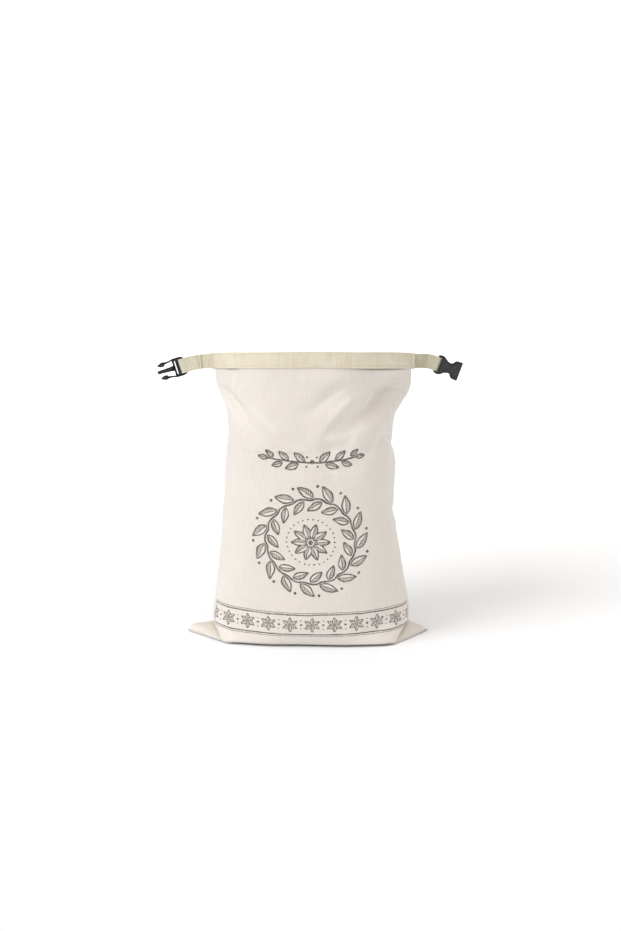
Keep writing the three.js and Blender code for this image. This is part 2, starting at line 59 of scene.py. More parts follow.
camera_data = bpy.data.cameras.new("camera")
camera_data.sensor_width = 36
camera_data.lens = camera_data.sensor_width * FOCAL_LENGTH_PIXELS / PHOTO_HEIGHT_PIXELS
camera_data.shift_y = AXIS_BELOW_MIDDLE_PIXELS / PHOTO_HEIGHT_PIXELS
camera = bpy.data.objects.new("camera", camera_data)
camera.location = Vector(SEAM_MIDDLE) + Vector(CAMERA_FROM_SEAM)
camera.rotation_euler = (math.radians(90 - CAMERA_LOOKS_DOWN), 0, 0)
bpy.context.scene.collection.objects.link(camera)
bpy.context.scene.camera = camera


# Front and back panels. Each is one cut of plain-woven cotton, waxed so that it holds a fold. They are sewn
# together at the sides and the bottom with the allowance inside, and hemmed at the mouth. s runs across the
# cut cloth from its middle line, and reach runs up it from the bottom seam.
PANELS = ("front", "back")
FORWARD = {"front": -1, "back": 1}
CUT_WIDTH = 350
CUT_LENGTH = 486
HALF_CUT = CUT_WIDTH / 2
CLOTH_THICKNESS = 0.9
HEM_DEPTH = 22
HEM_EDGE = CUT_LENGTH - HEM_DEPTH
HEM_THICKNESS = 1.7
TAPE_HEIGHT = 22
TAPE_RISE = 0.7
TAPE_FOOT = CUT_LENGTH + TAPE_RISE - TAPE_HEIGHT

# The tips of the bottom seam lie on the floor as folded ears, and their upper layer comes back over the lower
# one up to the ear's reach. The base stands turned a little, its right side forward, and that fades upwards.
EAR_REACH = 52
EAR_DOUBLE = 3.4
EAR_LIP = 6
EAR_FADES = 100
EAR_FOLD_INSET = 2
BASE_TURN = 0.09
TURN_FADES = 230


def named_columns(names, rows):
    """A table of numbers as one array for each column name."""
    return dict(zip(names.split(), np.array(rows, float).T))


# Level sections through the standing bag: the half widths at the seams, the half depths, how far the
# section narrows at the seams, the height at the front's middle, how much lower the back is, and the seams'
# heights.
SECTIONS = named_columns("reach left right front back pinch middle sag side_left side_right", [
    (0, 179.3, 170.7, 0, 0, 0, 0, 0, 2.5, 3.6),
    (10, 169.8, 161.2, 10, 10, 0, 0, 0, 12, 8.5),
    (20, 159.8, 151.2, 20, 20, 0, 0, 0, 12.5, 12.5),
    (31, 148.8, 141, 31, 31, 0, 0, 0, 12.3, 16.5),
    (42, 138, 131.2, 41.6, 42, 0, 0, 0, 10.8, 14),
    (52, 130, 122, 51.5, 52, 0.03, 0, 0, 8.5, 10.5),
    (60, 127, 121, 57, 60, 0.11, 0.4, 0, 7.5, 8.5),
    (67, 131.5, 127.5, 64, 66, 0.08, 4, 0.5, 10, 11),
    (74, 137, 135.5, 67.5, 70, 0.04, 10.6, 1, 14, 15.5),
    (84, 141, 142, 69.8, 73, 0, 20.4, 1, 21.8, 22.5),
    (94, 141.6, 143.6, 72, 75, 0, 30.2, 1, 31, 31.5),
    (104, 140.9, 143.3, 74, 77, 0, 40, 1, 41, 41.2),
    (117, 138.8, 141.2, 76.4, 79, 0, 52.8, 1, 53.8, 53.8),
    (130, 136.7, 138.7, 78.6, 81, 0, 65.6, 1, 66.3, 66.3),
    (160, 133, 133, 82.4, 84, 0, 95.3, 1, 95.8, 95.8),
    (193, 129.4, 127.8, 85.8, 87, 0, 128.1, 1, 128.2, 128),
    (227, 125.8, 121.5, 88.3, 89.5, 0, 162, 1, 161.6, 161.4),
    (278, 121.7, 117.2, 90.8, 91.5, 0, 212.9, 1.5, 211.8, 211.5),
    (314, 119.4, 118.8, 91.3, 91.5, 0, 248.8, 2, 247.3, 247),
    (350, 115, 115.4, 90, 90.5, 0, 284.7, 4, 282.5, 282.5),
    (372, 113.2, 114.6, 88.5, 89.5, 0.1, 306.6, 6, 303.5, 303.5),
    (393, 113.8, 118, 87, 88, 0.3, 327.5, 9, 322.5, 322.5),
    (406, 116.2, 124.5, 86, 87, 0.45, 340.4, 11.5, 334, 334),
    (419, 122.5, 132, 85.2, 86, 0.6, 353.3, 14, 345.5, 345.5),
    (433, 128.6, 138.2, 85, 85.6, 0.72, 367.3, 16.5, 357.5, 357.5),
    (448, 131.6, 140.2, 85.6, 85.8, 0.82, 382.2, 19, 370.5, 370.5),
    (464.7, 132.6, 140, 86.6, 86.6, 0.86, 398.8, 21.5, 385.6, 385.6),
    (486, 134.2, 139.8, 88, 88, 0.88, 420, 23, 406.8, 406.8),
])

# Folds of each panel: a bent line over the cut cloth, how far it stands out, and its half widths above and
# below the line. Broad folds come first, and then the sharper creases on them.
BROAD_FOLDS = {
    "front": [
        ((-170, 438), (-108, 425), (-78, 378), -4.4, 8, 12),
        ((-88, 420), (-66, 402), (-46, 376), -1.5, 12, 12),
        ((70, 442), (30, 424), (-10, 406), -4.2, 13, 12),
        ((62, 418), (36, 402), (12, 362), 1.4, 30, 8),
        ((60, 418), (36, 402), (16, 370), -5, 7, 12),
        ((132, 446), (84, 408), (24, 376), -6.5, 15, 12),
        ((150, 392), (90, 390), (36, 364), 2.6, 9, 14),
        ((36, 357), (24, 356), (10, 356), -4.5, 9, 9),
        ((128, 376), (92, 366), (40, 322), -2.6, 10, 11),
        ((144, 444), (130, 443), (116, 440), -3.2, 8, 8),
        ((14, 356), (-14, 316), (-12, 256), 3.4, 34, 34),
        ((74, 436), (34, 404), (10, 350), 9.5, 84, 17),
        ((152, 470), (132, 425), (80, 322), -6, 100, 26),
        ((160, 430), (110, 426), (50, 412), -8, 32, 42),
        ((142, 132), (138, 104), (128, 78), 1.8, 20, 20),
        ((-110, 86), (0, 89), (110, 86), 2.6, 34, 12),
        ((130, 104), (98, 86), (62, 77), -1.8, 8, 7),
    ],
    "back": [
        ((168, 436), (112, 420), (84, 372), -3.8, 8, 11),
        ((-150, 436), (-90, 404), (-22, 376), -4.4, 12, 10),
        ((-64, 418), (-26, 398), (-6, 342), 3.2, 13, 10),
        ((130, 366), (84, 352), (40, 310), -2.4, 11, 12),
    ],
}
CREASES = {
    "front": [
        ((-172, 438), (-112, 424), (-80, 382), -2.3, 3, 4.5),
        ((-164, 428), (-120, 408), (-92, 384), 1.0, 4, 4),
        ((-86, 414), (-64, 396), (-46, 378), -0.5, 4, 4),
        ((50, 424), (26, 402), (12, 366), 1.5, 5, 4),
        ((62, 414), (38, 402), (18, 372), -3.2, 4, 8),
        ((28, 368), (48, 376), (74, 381), 0.6, 4, 4),
        ((56, 449), (16, 424), (-4, 406), -2.2, 7, 5),
        ((112, 436), (92, 418), (62, 402), -2.8, 5, 7),
        ((138, 442), (126, 438), (110, 430), -2.6, 5, 5),
        ((132, 372), (98, 376), (86, 344), -1.1, 4, 4),
        ((150, 364), (124, 356), (112, 286), 0.9, 6, 8),
        ((172, 352), (140, 354), (112, 366), -1.2, 4, 5),
        ((64, 392), (52, 372), (44, 336), -1.0, 6, 6),
        ((30, 346), (34, 330), (30, 306), -0.7, 7, 7),
        ((172, 255), (150, 257), (128, 266), -0.6, 4, 5),
        ((120, 99), (96, 93), (70, 82), -0.8, 4, 4),
        ((136, 98), (108, 88), (86, 78), 0.7, 4, 4),
        ((152, 92), (120, 80), (98, 69), -0.7, 4, 4),
        ((-152, 92), (-132, 84), (-112, 74), -0.7, 5, 4),
        ((118, 459), (121, 448), (126, 436), -0.5, 4, 4),
        ((-114, 459), (-118, 448), (-125, 438), -0.4, 4, 4),
    ],
    "back": [
        ((168, 438), (112, 422), (84, 376), -0.9, 3, 4),
        ((-150, 438), (-92, 406), (-24, 378), -0.9, 4, 4),
        ((-62, 420), (-28, 400), (-6, 346), 0.8, 4, 3.5),
        ((130, 368), (86, 354), (42, 312), -0.7, 4, 4),
        ((-120, 100), (-98, 92), (-74, 80), -0.7, 4, 4),
        ((140, 96), (112, 86), (90, 76), -0.7, 4, 4),
        ((-170, 300), (-140, 306), (-116, 322), -0.6, 4, 5),
    ],
}

# Small creases that the cloth took in use: how many each zone of a panel has, the zone's edges over the cut
# cloth, and the mean slope of its creases in degrees. Turn, bend and depth are how far they vary.
CREASE_ZONES = named_columns("count left right low high slope", [
    (12, -165, -40, 366, 452, -34),
    (16, 10, 165, 356, 452, 34),
    (9, -174, -110, 110, 350, 8),
    (10, 105, 174, 110, 350, -6),
    (9, -168, -70, 62, 104, -22),
    (10, 60, 168, 62, 104, 22),
    (8, -100, 100, 120, 350, 60),
])
SMALL_CREASE_TURN = 14
SMALL_CREASE_HALF_LENGTHS = (11, 30)
SMALL_CREASE_BEND = 0.004
SMALL_CREASE_HALF_WIDTHS = (2.4, 4.4)
SMALL_CREASE_DEPTH = 0.42
SMALL_CREASE_FULL_SHARE = 0.2

# Dents where the cloth is drawn in at a seam: side, reach, half height, half width and depth.
SEAM_DENTS = [(1, 255, 9, 26, 4.8), (1, 352, 7, 24, 4), (-1, 398, 8, 20, 1.5)]


def read_section(column, reach):
    """A column of the sections between its rows, on a curve that never overshoots them."""
    rows = SECTIONS["reach"]
    values = SECTIONS[column]
    slopes = np.diff(values) / np.diff(rows)
    before, after = slopes[:-1], slopes[1:]
    same_way = before * after > 0
    inner = np.where(same_way, 2 * before * after / np.where(same_way, before + after, 1), 0)
    tangents = np.concatenate([slopes[:1], inner, slopes[-1:]])
    low = np.clip(np.searchsorted(rows, reach, side="right") - 1, 0, len(rows) - 2)
    high = low + 1
    span = rows[high] - rows[low]
    share = (reach - rows[low]) / span
    eased = values[low] + (values[high] - values[low]) * share * share * (3 - 2 * share)
    leaving = tangents[low] * span * share * (1 - share) ** 2
    arriving = tangents[high] * span * share * share * (share - 1)
    return eased + leaving + arriving


QUARTER_STEPS = 64
SQUARENESS_LOW = 1.2
SQUARENESS_HIGH = 60.0
SQUARENESS_HALVINGS = 24
quarter_angles = np.pi / 2 * (1 - np.arange(QUARTER_STEPS + 1) / QUARTER_STEPS)
quarter_cos = np.abs(np.cos(quarter_angles))
quarter_sin = np.abs(np.sin(quarter_angles))


def quarter_outline(width, depth, pinch, turn, squareness):
    """A quarter of a level section, from the panel's middle line to the side seam."""
    radius = (quarter_cos ** squareness + quarter_sin ** squareness) ** (-1 / squareness)
    across = radius * quarter_cos
    drawn_in = (1 - pinch * across ** 4) * (1 + turn * across)
    return np.stack([width * across, depth * radius * quarter_sin * drawn_in], 1)


def lengths_along(line):
    """The length along a line at each of its points."""
    return np.concatenate([[0], np.cumsum(np.linalg.norm(np.diff(line, axis=0), axis=1))])


def on_line(line, lengths, at):
    """Points of a line at some lengths along it."""
    return np.stack([np.interp(at, lengths, line[:, axis]) for axis in range(line.shape[1])], -1)


# Level sections that are found already, since finding one takes many tries.
known_outlines = {}


def panel_outline(panel, reach):
    """A panel's level section and the lengths along it, as square as it takes to measure the cut width."""
    key = (panel, round(float(reach), 3))
    if key in known_outlines:
        return known_outlines[key]
    left, right, depth, pinch = (read_section(name, reach) for name in ("left", "right", panel, "pinch"))
    turn = -FORWARD[panel] * BASE_TURN * np.clip(1 - reach / TURN_FADES, 0, 1)

    def section(squareness):
        to_left = quarter_outline(left, depth, pinch, -turn, squareness) * (-1, 1)
        points = np.concatenate([to_left[::-1], quarter_outline(right, depth, pinch, turn, squareness)[1:]])
        return points, lengths_along(points)

    low, high = SQUARENESS_LOW, SQUARENESS_HIGH
    for _ in range(SQUARENESS_HALVINGS):
        middle = (low + high) / 2
        if section(middle)[1][-1] < CUT_WIDTH:
            low = middle
        else:
            high = middle
    known_outlines[key] = section(low)
    return known_outlines[key]


# Near the mouth the back dips down close to the side seams and then runs level.
EVEN_BOW = 2
BACK_LIP_BOW = 6
DIP_STARTS = 372


def cloth_height(panel, s, reach):
    """Height of the cloth. On the ear it lies on the floor, and comes back over itself beyond the fold."""
    dipped = np.clip((reach - DIP_STARTS) / (CUT_LENGTH - DIP_STARTS), 0, 1) if panel == "back" else 0
    bow = EVEN_BOW + (BACK_LIP_BOW - EVEN_BOW) * dipped
    middle = read_section("middle", reach) - (read_section("sag", reach) if panel == "back" else 0)
    side = np.where(s < 0, read_section("side_left", reach), read_section("side_right", reach))
    from_seam = HALF_CUT - np.abs(s)
    hung = middle + (side - middle) * np.abs(s / HALF_CUT) ** bow
    fold = np.minimum(reach, EAR_REACH)
    up = np.clip(1 - from_seam / np.maximum(fold, 0.001), 0, 1)
    doubled = np.maximum(middle, EAR_DOUBLE)
    upper = doubled + (np.maximum(side, doubled) - doubled) * up * (2 - up)
    turned = (np.sin(np.pi / 2 * np.clip((fold - from_seam) / EAR_LIP, -1, 1)) + 1) / 2
    standing = np.clip((reach - EAR_REACH) / (EAR_FADES - EAR_REACH), 0, 1)
    return (middle + (upper - middle) * turned) * (1 - standing) + hung * standing


# A fold's depth rises and dies away along it, as a half sine does between two shares of its length.
FOLD_SAMPLES = 90
TAPER_FROM = 0.12
TAPER_TO = 0.92


def fold_profile(fold, s, reach):
    """How far one fold stands out at each place of the cloth, and how close the place is to the fold."""
    start, bend, end, depth, above, below = fold
    start, bend, end = (np.array(point, float) for point in (start, bend, end))
    share = np.linspace(0, 1, FOLD_SAMPLES)[:, None]
    line = start * (1 - share) ** 2 + bend * 2 * share * (1 - share) + end * share * share
    distance = np.hypot(s[..., None] - line[:, 0], reach[..., None] - line[:, 1])
    nearest = distance.argmin(-1)
    over = reach - line[nearest, 1]
    width = np.where(over > 0, above, below)
    taper = np.sin(np.pi * (TAPER_FROM + (TAPER_TO - TAPER_FROM) * share[nearest, 0]))
    closeness = taper * np.exp(-((distance.min(-1) / width) ** 2))
    return depth * closeness, closeness


def smoothstep(value, low, high):
    share = np.clip((value - low) / (high - low), 0, 1)
    return share * share * (3 - 2 * share)


def small_creases(generator):
    """The small creases of one panel: middle, direction, half length, bend, half width and depth of each."""
    rows = []
    for count, left, right, low, high, slope in zip(*CREASE_ZONES.values()):
        for _ in range(int(count)):
            middle = (generator.uniform(left, right), generator.uniform(low, high))
            angle = math.radians(slope + generator.normal(0, SMALL_CREASE_TURN))
            half_length = generator.uniform(*SMALL_CREASE_HALF_LENGTHS)
            bend = generator.normal(0, SMALL_CREASE_BEND)
            half_width = generator.uniform(*SMALL_CREASE_HALF_WIDTHS)
            depth = generator.normal(0, SMALL_CREASE_DEPTH)
            rows.append((*middle, angle, half_length, bend, half_width, depth))
    return rows


# Waves that no table names: the slack of the filled cloth, and puckers along the side seams. All relief dies
# away under the tape, and folds and creases do at the seams.
SLACK_WAVES = 20
SLACK_LENGTHS = (34, 120)
SLACK_DEPTH = 0.13
PUCKER_WAVES = 7
PUCKER_LENGTHS = (7, 24)
PUCKER_DEPTH = 0.16
PUCKER_WIDTH = 8
SEAM_GROOVE = 0.7
SEAM_GROOVE_WIDTH = 1.9
FADES_BELOW_TAPE = 14
FOLD_FADES_AT_SEAM = 20
CREASE_FADES_AT_SEAM = 5
rng = np.random.default_rng(41)
slack_lengths = rng.uniform(*SLACK_LENGTHS, SLACK_WAVES)
slack_angles = rng.uniform(0, np.pi, SLACK_WAVES)
slack_phases = rng.uniform(0, 2 * np.pi, (2, SLACK_WAVES))
pucker_lengths = rng.uniform(*PUCKER_LENGTHS, PUCKER_WAVES)
pucker_phases = rng.uniform(0, 2 * np.pi, (4, PUCKER_WAVES))
crease_rows = {panel: small_creases(rng) for panel in PANELS}


def cloth_relief(panel, s, reach):
    """How far the folds, dents, waves and puckers push the cloth out, and how creased it is."""
    from_seam = HALF_CUT - np.abs(s)
    below_tape = np.clip((TAPE_FOOT - reach) / FADES_BELOW_TAPE, 0, 1)
    off_seam = np.clip(from_seam / FOLD_FADES_AT_SEAM, 0, 1)
    near_seam = np.clip(from_seam / CREASE_FADES_AT_SEAM, 0, 1)
    push = np.zeros_like(s)
    creased = np.zeros_like(s)
    for fold in BROAD_FOLDS[panel]:
        push += fold_profile(fold, s, reach)[0] * off_seam
    for crease in CREASES[panel]:
        depth, closeness = fold_profile(crease, s, reach)
        push += depth * near_seam
        creased = np.maximum(creased, closeness)
    for middle_s, middle_reach, angle, half_length, bend, half_width, depth in crease_rows[panel]:
        run, rise = math.cos(angle), math.sin(angle)
        along = (s - middle_s) * run + (reach - middle_reach) * rise
        over = (reach - middle_reach) * run - (s - middle_s) * rise - bend * along ** 2
        kept = 1 - smoothstep(np.abs(along), SMALL_CREASE_FULL_SHARE * half_length, half_length)
        push += depth * np.exp(-(over / half_width) ** 2) * kept * near_seam
    for side, level, tall, deep, depth in SEAM_DENTS:
        dent = depth * np.exp(-((reach - level) / tall) ** 2 - (from_seam / deep) ** 2)
        push -= np.where(np.sign(s) == side, dent, 0)
    which = PANELS.index(panel)
    for length, angle, phase in zip(slack_lengths, slack_angles, slack_phases[which]):
        along = s * math.cos(angle) + reach * math.sin(angle)
        push += SLACK_DEPTH * np.cos(2 * np.pi * along / length + phase) * off_seam
    for side in (0, 1):
        phases = pucker_phases[2 * which + side]
        waves = [np.cos(2 * np.pi * reach / length + phase) for length, phase in zip(pucker_lengths, phases)]
        on_side = (s > 0) == (side == 1)
        push += np.where(on_side, PUCKER_DEPTH * sum(waves) * np.exp(-from_seam / PUCKER_WIDTH), 0)
    push -= SEAM_GROOVE * np.exp(-((from_seam / SEAM_GROOVE_WIDTH) ** 2))
    return push * below_tape, creased * below_tape


def in_metres(points):
    return np.asarray(points, float) * MM + SEAM_MIDDLE


# At the mouth the tape presses the bag's corners flat, and each narrows to a nose at its side seam.
OUTWARD_STEP = 3
SEAM_NEAR = 0.01
NOSE_WIDTH = 12
NOSE_SHARE = 0.6
NOSE_STARTS_BELOW_TAPE = 30


def on_cloth(panel, s, reach, proud=0.0, relief=True):
    """Points of a panel's outer face, or of a face that stands proud of it, from the seam's middle."""
    s, reach, proud = (np.array(a, float) for a in np.broadcast_arrays(s, reach, proud))
    push = proud + (cloth_relief(panel, s, reach)[0] if relief else 0)
    points = np.empty(s.shape + (3,))
    for level in np.unique(reach):
        row = reach == level
        outline, lengths = panel_outline(panel, level)
        places = s[row]

        def at(where):
            return on_line(outline, lengths, np.clip((where + HALF_CUT) / CUT_WIDTH, 0, 1) * lengths[-1])

        here = at(places)
        tangent = at(places + OUTWARD_STEP) - at(places - OUTWARD_STEP)
        outward = np.stack([-tangent[:, 1], tangent[:, 0]], 1)
        outward /= np.hypot(*outward.T)[:, None]
        on_seam = np.abs(places) > HALF_CUT - SEAM_NEAR
        outward[on_seam] = np.stack([np.sign(places[on_seam]), np.zeros(on_seam.sum())], 1)
        pressed = smoothstep(level, TAPE_FOOT - NOSE_STARTS_BELOW_TAPE, TAPE_FOOT)
        nose = 1 - NOSE_SHARE * pressed * np.exp(-((HALF_CUT - np.abs(places)) / NOSE_WIDTH) ** 2)
        plan = here + outward * push[row][:, None]
        depth = np.where(on_seam, 0, plan[:, 1] * nose + SEWN_EDGE)
        points[row] = np.stack([plan[:, 0], FORWARD[panel] * depth, cloth_height(panel, places, level)], 1)
    return points


def new_mesh(name, vertices, faces):
    """A smooth mesh object at the origin, with its points in metres."""
    mesh = bpy.data.meshes.new(name)
    mesh.from_pydata(np.asarray(vertices).tolist(), [], [list(map(int, face)) for face in faces])
    mesh.polygons.foreach_set("use_smooth", np.ones(len(mesh.polygons), bool))
    mesh.update()
    piece = bpy.data.objects.new(name, mesh)
    bpy.context.scene.collection.objects.link(piece)
    return piece


def give_point_values(piece, name, values):
    attribute = piece.data.attributes.new(name, "FLOAT", "POINT")
    attribute.data.foreach_set("value", np.ascontiguousarray(values, np.float32).ravel())


def give_uv(piece, name, uv):
    """A UV map from one place in metres for each point."""
    layer = piece.data.uv_layers.new(name=name)
    corners = np.empty(len(piece.data.loops), np.int32)
    piece.data.loops.foreach_get("vertex_index", corners)
    layer.data.foreach_set("uv", np.ascontiguousarray(uv[corners], np.float32).ravel())


CLOTH_STEP = 2
HEM_STEP = 1
LIP_SOFT = 1.5
LIP_PINCH = 0.25
LIP_ROW = 0.8

# A thin dark line of shadow lies along the base, and under the tape where it stands off the cloth. The gaps
# that cast it are too narrow for the mesh, so the cloth is painted darker in their place: painted shadow. A
# gap under the tape has its middle along the cut cloth, its half length and how dark its painted shadow is.
BASE_EDGE = 4.6
BASE_EDGE_SOFT = 1.6
EAR_FOLD_STARTS = 108
LIGHTER_ON_EAR = 0.75
TAPE_GAPS = {"front": [(104, 50, 0.9), (-122, 16, 0.55)], "back": [(130, 22, 0.5)]}
TAPE_GAP_DROP = 1.2
even_reaches = np.arange(0, CUT_LENGTH + 1, CLOTH_STEP)
edge_reaches = [HEM_EDGE - HEM_STEP, HEM_EDGE + HEM_STEP, CUT_LENGTH - LIP_ROW]
panel_reaches = np.unique(np.concatenate([even_reaches, edge_reaches]))
panel_places = np.arange(-HALF_CUT, HALF_CUT + 1, CLOTH_STEP)


def inner_points(outer, side, thickness):
    """The inner face, a cloth's thickness in. A sewn edge stays in the seam's plane, and the ear's fold
    moves in level."""
    up = np.gradient(outer, axis=0)
    across = np.gradient(outer, axis=1)
    normal = np.cross(across, up) * side
    normal /= np.linalg.norm(normal, axis=2)[..., None]
    from_seam = HALF_CUT - np.abs(panel_places)
    on_fold = np.abs(from_seam[None, :] - panel_reaches[:, None]) < SEAM_NEAR
    fold = on_fold & (panel_reaches[:, None] <= EAR_REACH)
    sewn = np.zeros(fold.shape, bool)
    sewn[0] = True
    sewn[:, [0, -1]] = True
    normal[fold | sewn, 1] *= np.where(sewn[fold | sewn], 0, 1)
    normal[fold, 2] = 0
    size = np.linalg.norm(normal, axis=2)
    size = np.where(size > 1e-6, size, 1)
    deep = np.where(fold, EAR_FOLD_INSET, np.minimum(thickness[:, None] / size, 2 * thickness[:, None]))
    return outer - normal / size[..., None] * deep[..., None]


def panel_piece(panel):
    s, reach = np.meshgrid(panel_places, panel_reaches)
    outer = on_cloth(panel, s, reach)
    creased = cloth_relief(panel, s, reach)[1]
    hemmed = smoothstep(panel_reaches, HEM_EDGE - HEM_STEP, HEM_EDGE + HEM_STEP)
    lip = smoothstep(panel_reaches, CUT_LENGTH - LIP_SOFT, CUT_LENGTH)
    thickness = CLOTH_THICKNESS + (HEM_THICKNESS - CLOTH_THICKNESS) * hemmed
    inner = inner_points(outer, -FORWARD[panel], thickness)
    rounding = (inner - outer) * LIP_PINCH * lip[:, None, None]
    outer = outer + rounding
    inner = inner - rounding
    rows, columns = s.shape
    number = np.arange(2 * rows * columns).reshape(2, rows, columns)

    def squares(*corners):
        ring = np.stack(corners, -1).reshape(-1, 4)
        return ring if panel == "front" else ring[:, ::-1]

    def sheet_of_squares(side, *steps):
        return squares(*(number[side, i:rows - 1 + i, j:columns - 1 + j] for i, j in steps))

    faces = [
        sheet_of_squares(0, (0, 0), (0, 1), (1, 1), (1, 0)),
        sheet_of_squares(1, (0, 0), (1, 0), (1, 1), (0, 1)),
        squares(number[1, 0, :-1], number[1, 0, 1:], number[0, 0, 1:], number[0, 0, :-1]),
        squares(number[0, -1, :-1], number[0, -1, 1:], number[1, -1, 1:], number[1, -1, :-1]),
        squares(number[1, :-1, 0], number[0, :-1, 0], number[0, 1:, 0], number[1, 1:, 0]),
        squares(number[0, :-1, -1], number[1, :-1, -1], number[1, 1:, -1], number[0, 1:, -1]),
    ]
    outside_count = len(faces[0])
    points = in_metres(np.concatenate([outer.reshape(-1, 3), inner.reshape(-1, 3)]))
    points[:, 2] = np.maximum(points[:, 2], 0)
    piece = new_mesh(panel + "_cloth", points, np.concatenate(faces))
    give_uv(piece, "Cut", np.tile(np.stack([s, reach], -1).reshape(-1, 2) * MM, (2, 1)))
    give_point_values(piece, "creased", np.tile(creased.ravel(), 2))
    # Where the painted shadow of the narrow gaps goes: along the base, fading on the ears, and under the
    # tape's lifted stretches.
    on_wall = 1 - LIGHTER_ON_EAR * smoothstep(np.abs(s), EAR_FOLD_STARTS, HALF_CUT - EAR_REACH)
    at_base = np.clip((BASE_EDGE - points[:, 2] / MM) / BASE_EDGE_SOFT, 0, 1) * np.tile(on_wall.ravel(), 2)
    under_tape = np.exp(-((reach - TAPE_FOOT + TAPE_GAP_DROP) / TAPE_GAP_DROP) ** 2)
    gaps = [dark * np.exp(-((s - middle) / half) ** 4) for middle, half, dark in TAPE_GAPS[panel]]
    under_tape = under_tape * sum(gaps)
    give_point_values(piece, "gap shade", np.maximum(at_base, np.tile(under_tape.ravel(), 2)))
    slots = np.ones(len(piece.data.polygons), np.int32)
    slots[:outside_count] = 0
    piece.data.materials.append(None)
    piece.data.materials.append(None)
    piece.data.polygons.foreach_set("material_index", slots)
    return piece


front_cloth = panel_piece("front")
back_cloth = panel_piece("back")


class Field:
    """A number that varies over a surface. Arithmetic on it adds Math nodes to its node tree."""

    def __init__(self, tree, socket):
        self.tree = tree
        self.socket = socket

    def math(self, operation, *others, held=False):
        node = self.tree.nodes.new("ShaderNodeMath")
        node.operation = operation
        node.use_clamp = held
        for slot, value in enumerate((self, *others)):
            plug(self.tree, value, node.inputs[slot])
        return Field(self.tree, node.outputs[0])

    def __add__(self, other):
        return self.math("ADD", other)

    __radd__ = __add__

    def __mul__(self, other):
        return self.math("MULTIPLY", other)

    __rmul__ = __mul__

    def __sub__(self, other):
        return self.math("SUBTRACT", other)

    def __rsub__(self, other):
        return self * -1 + other

    def __truediv__(self, other):
        return self.math("DIVIDE", other)

    def __abs__(self):
        return self.math("ABSOLUTE")

    def held(self):
        """The value, held between 0 and 1."""
        return self.math("ADD", 0.0, held=True)

    def tone(self, gain, start):
        """The value as a mask, with its contrast and its level changed."""
        return (self * gain + start).held()

    def length(self, other):
        """The length of the line to a place from its two coordinates."""
        return (self * self + other * other).math("SQRT")

    def from_nearest(self):
        """How far the value is from the nearest whole number."""
        return self - self.math("ROUND")

    def within(self, width, soft):
        """1 where the value is nearer to zero than width, falling to 0 over a soft edge."""
        return ((abs(self) * -1 + width) / soft + 0.5).held()

    def above(self, edge, soft):
        return ((self - edge) / soft + 0.5).held()


def plug(tree, value, socket):
    """Links a field or a socket, or sets a plain value."""
    if isinstance(value, Field):
        tree.links.new(value.socket, socket)
    elif isinstance(value, bpy.types.NodeSocket):
        tree.links.new(value, socket)
    else:
        socket.default_value = value


def noise(tree, place, scale, detail=2.0, roughness=0.5):
    node = tree.nodes.new("ShaderNodeTexNoise")
    node.inputs["Scale"].default_value = scale
    node.inputs["Detail"].default_value = detail
    node.inputs["Roughness"].default_value = roughness
    tree.links.new(place, node.inputs["Vector"])
    return Field(tree, node.outputs["Fac"])


def drawn_out(tree, place, across, along):
    """A noise drawn out into threads, from the size of its spots in the two directions."""
    node = tree.nodes.new("ShaderNodeMapping")
    node.inputs["Scale"].default_value = (1 / across, 1 / along, 1)
    tree.links.new(place, node.inputs["Vector"])
    return noise(tree, node.outputs[0], 1.0)


def coordinates(tree, place):
    """The first two coordinates of a place."""
    node = tree.nodes.new("ShaderNodeSeparateXYZ")
    tree.links.new(place, node.inputs[0])
    return Field(tree, node.outputs["X"]), Field(tree, node.outputs["Y"])


def new_group(name, inputs, outputs):
    """A shader node group with named sockets, given as (name, kind, value) and (name, kind)."""
    group = bpy.data.node_groups.new(name, "ShaderNodeTree")
    for label, kind, value in inputs:
        socket = group.interface.new_socket(label, in_out="INPUT", socket_type=kind)
        if value is not None:
            socket.default_value = value
    for label, kind in outputs:
        group.interface.new_socket(label, in_out="OUTPUT", socket_type=kind)
    start = group.nodes.new("NodeGroupInput")
    end = group.nodes.new("NodeGroupOutput")
    return group, start, end


def place_group(tree, group, **values):
    node = tree.nodes.new("ShaderNodeGroup")
    node.node_tree = group
    for label, value in values.items():
        plug(tree, value, node.inputs[label])
    return node


def mixed(tree, amount, first, second):
    """A colour mix by an amount that varies over the surface."""
    node = tree.nodes.new("ShaderNodeMix")
    node.data_type = "RGBA"
    plug(tree, amount, node.inputs["Factor"])
    plug(tree, first, node.inputs[6])
    plug(tree, second, node.inputs[7])
    return node.outputs[2]


FLOAT = "NodeSocketFloat"
VECTOR = "NodeSocketVector"

# Plain weave: threads that pass over and under each other, the thicker threads that run through it, and the
# cloudy way in which wax has taken. Place is over the cut cloth in metres, Pitch from thread to thread.
THREAD_SWING = 0.8
THREAD_HEIGHT = 0.25
SLUB_HEIGHT = 1.6
WARP_SLUB_SIZE = (0.0011, 0.026)
WARP_SLUB_SHARE = 1.4
WEFT_SLUB_SIZE = (0.03, 0.0012)
WEFT_SLUB_SHARE = 0.75
CLOUD_SIZE = 0.035
weave_group, weave_in, weave_out = new_group(
    "plain weave",
    [("Place", VECTOR, None), ("Pitch", FLOAT, 0.00055)],
    [("Height", FLOAT), ("Slubs", FLOAT), ("Clouds", FLOAT)],
)
place = weave_in.outputs["Place"]
pitch = Field(weave_group, weave_in.outputs["Pitch"])
warp_at, weft_at = (coordinate / pitch for coordinate in coordinates(weave_group, place))


def thread_height(at, other_at, first_over):
    """Height of the threads of one direction, round in section, as each passes over and under the others."""
    off_middle = at.from_nearest()
    swing = ((other_at + at.math("ROUND")) * math.pi).math("COSINE") * first_over
    return 1 - off_middle * off_middle * 4 + swing * THREAD_SWING


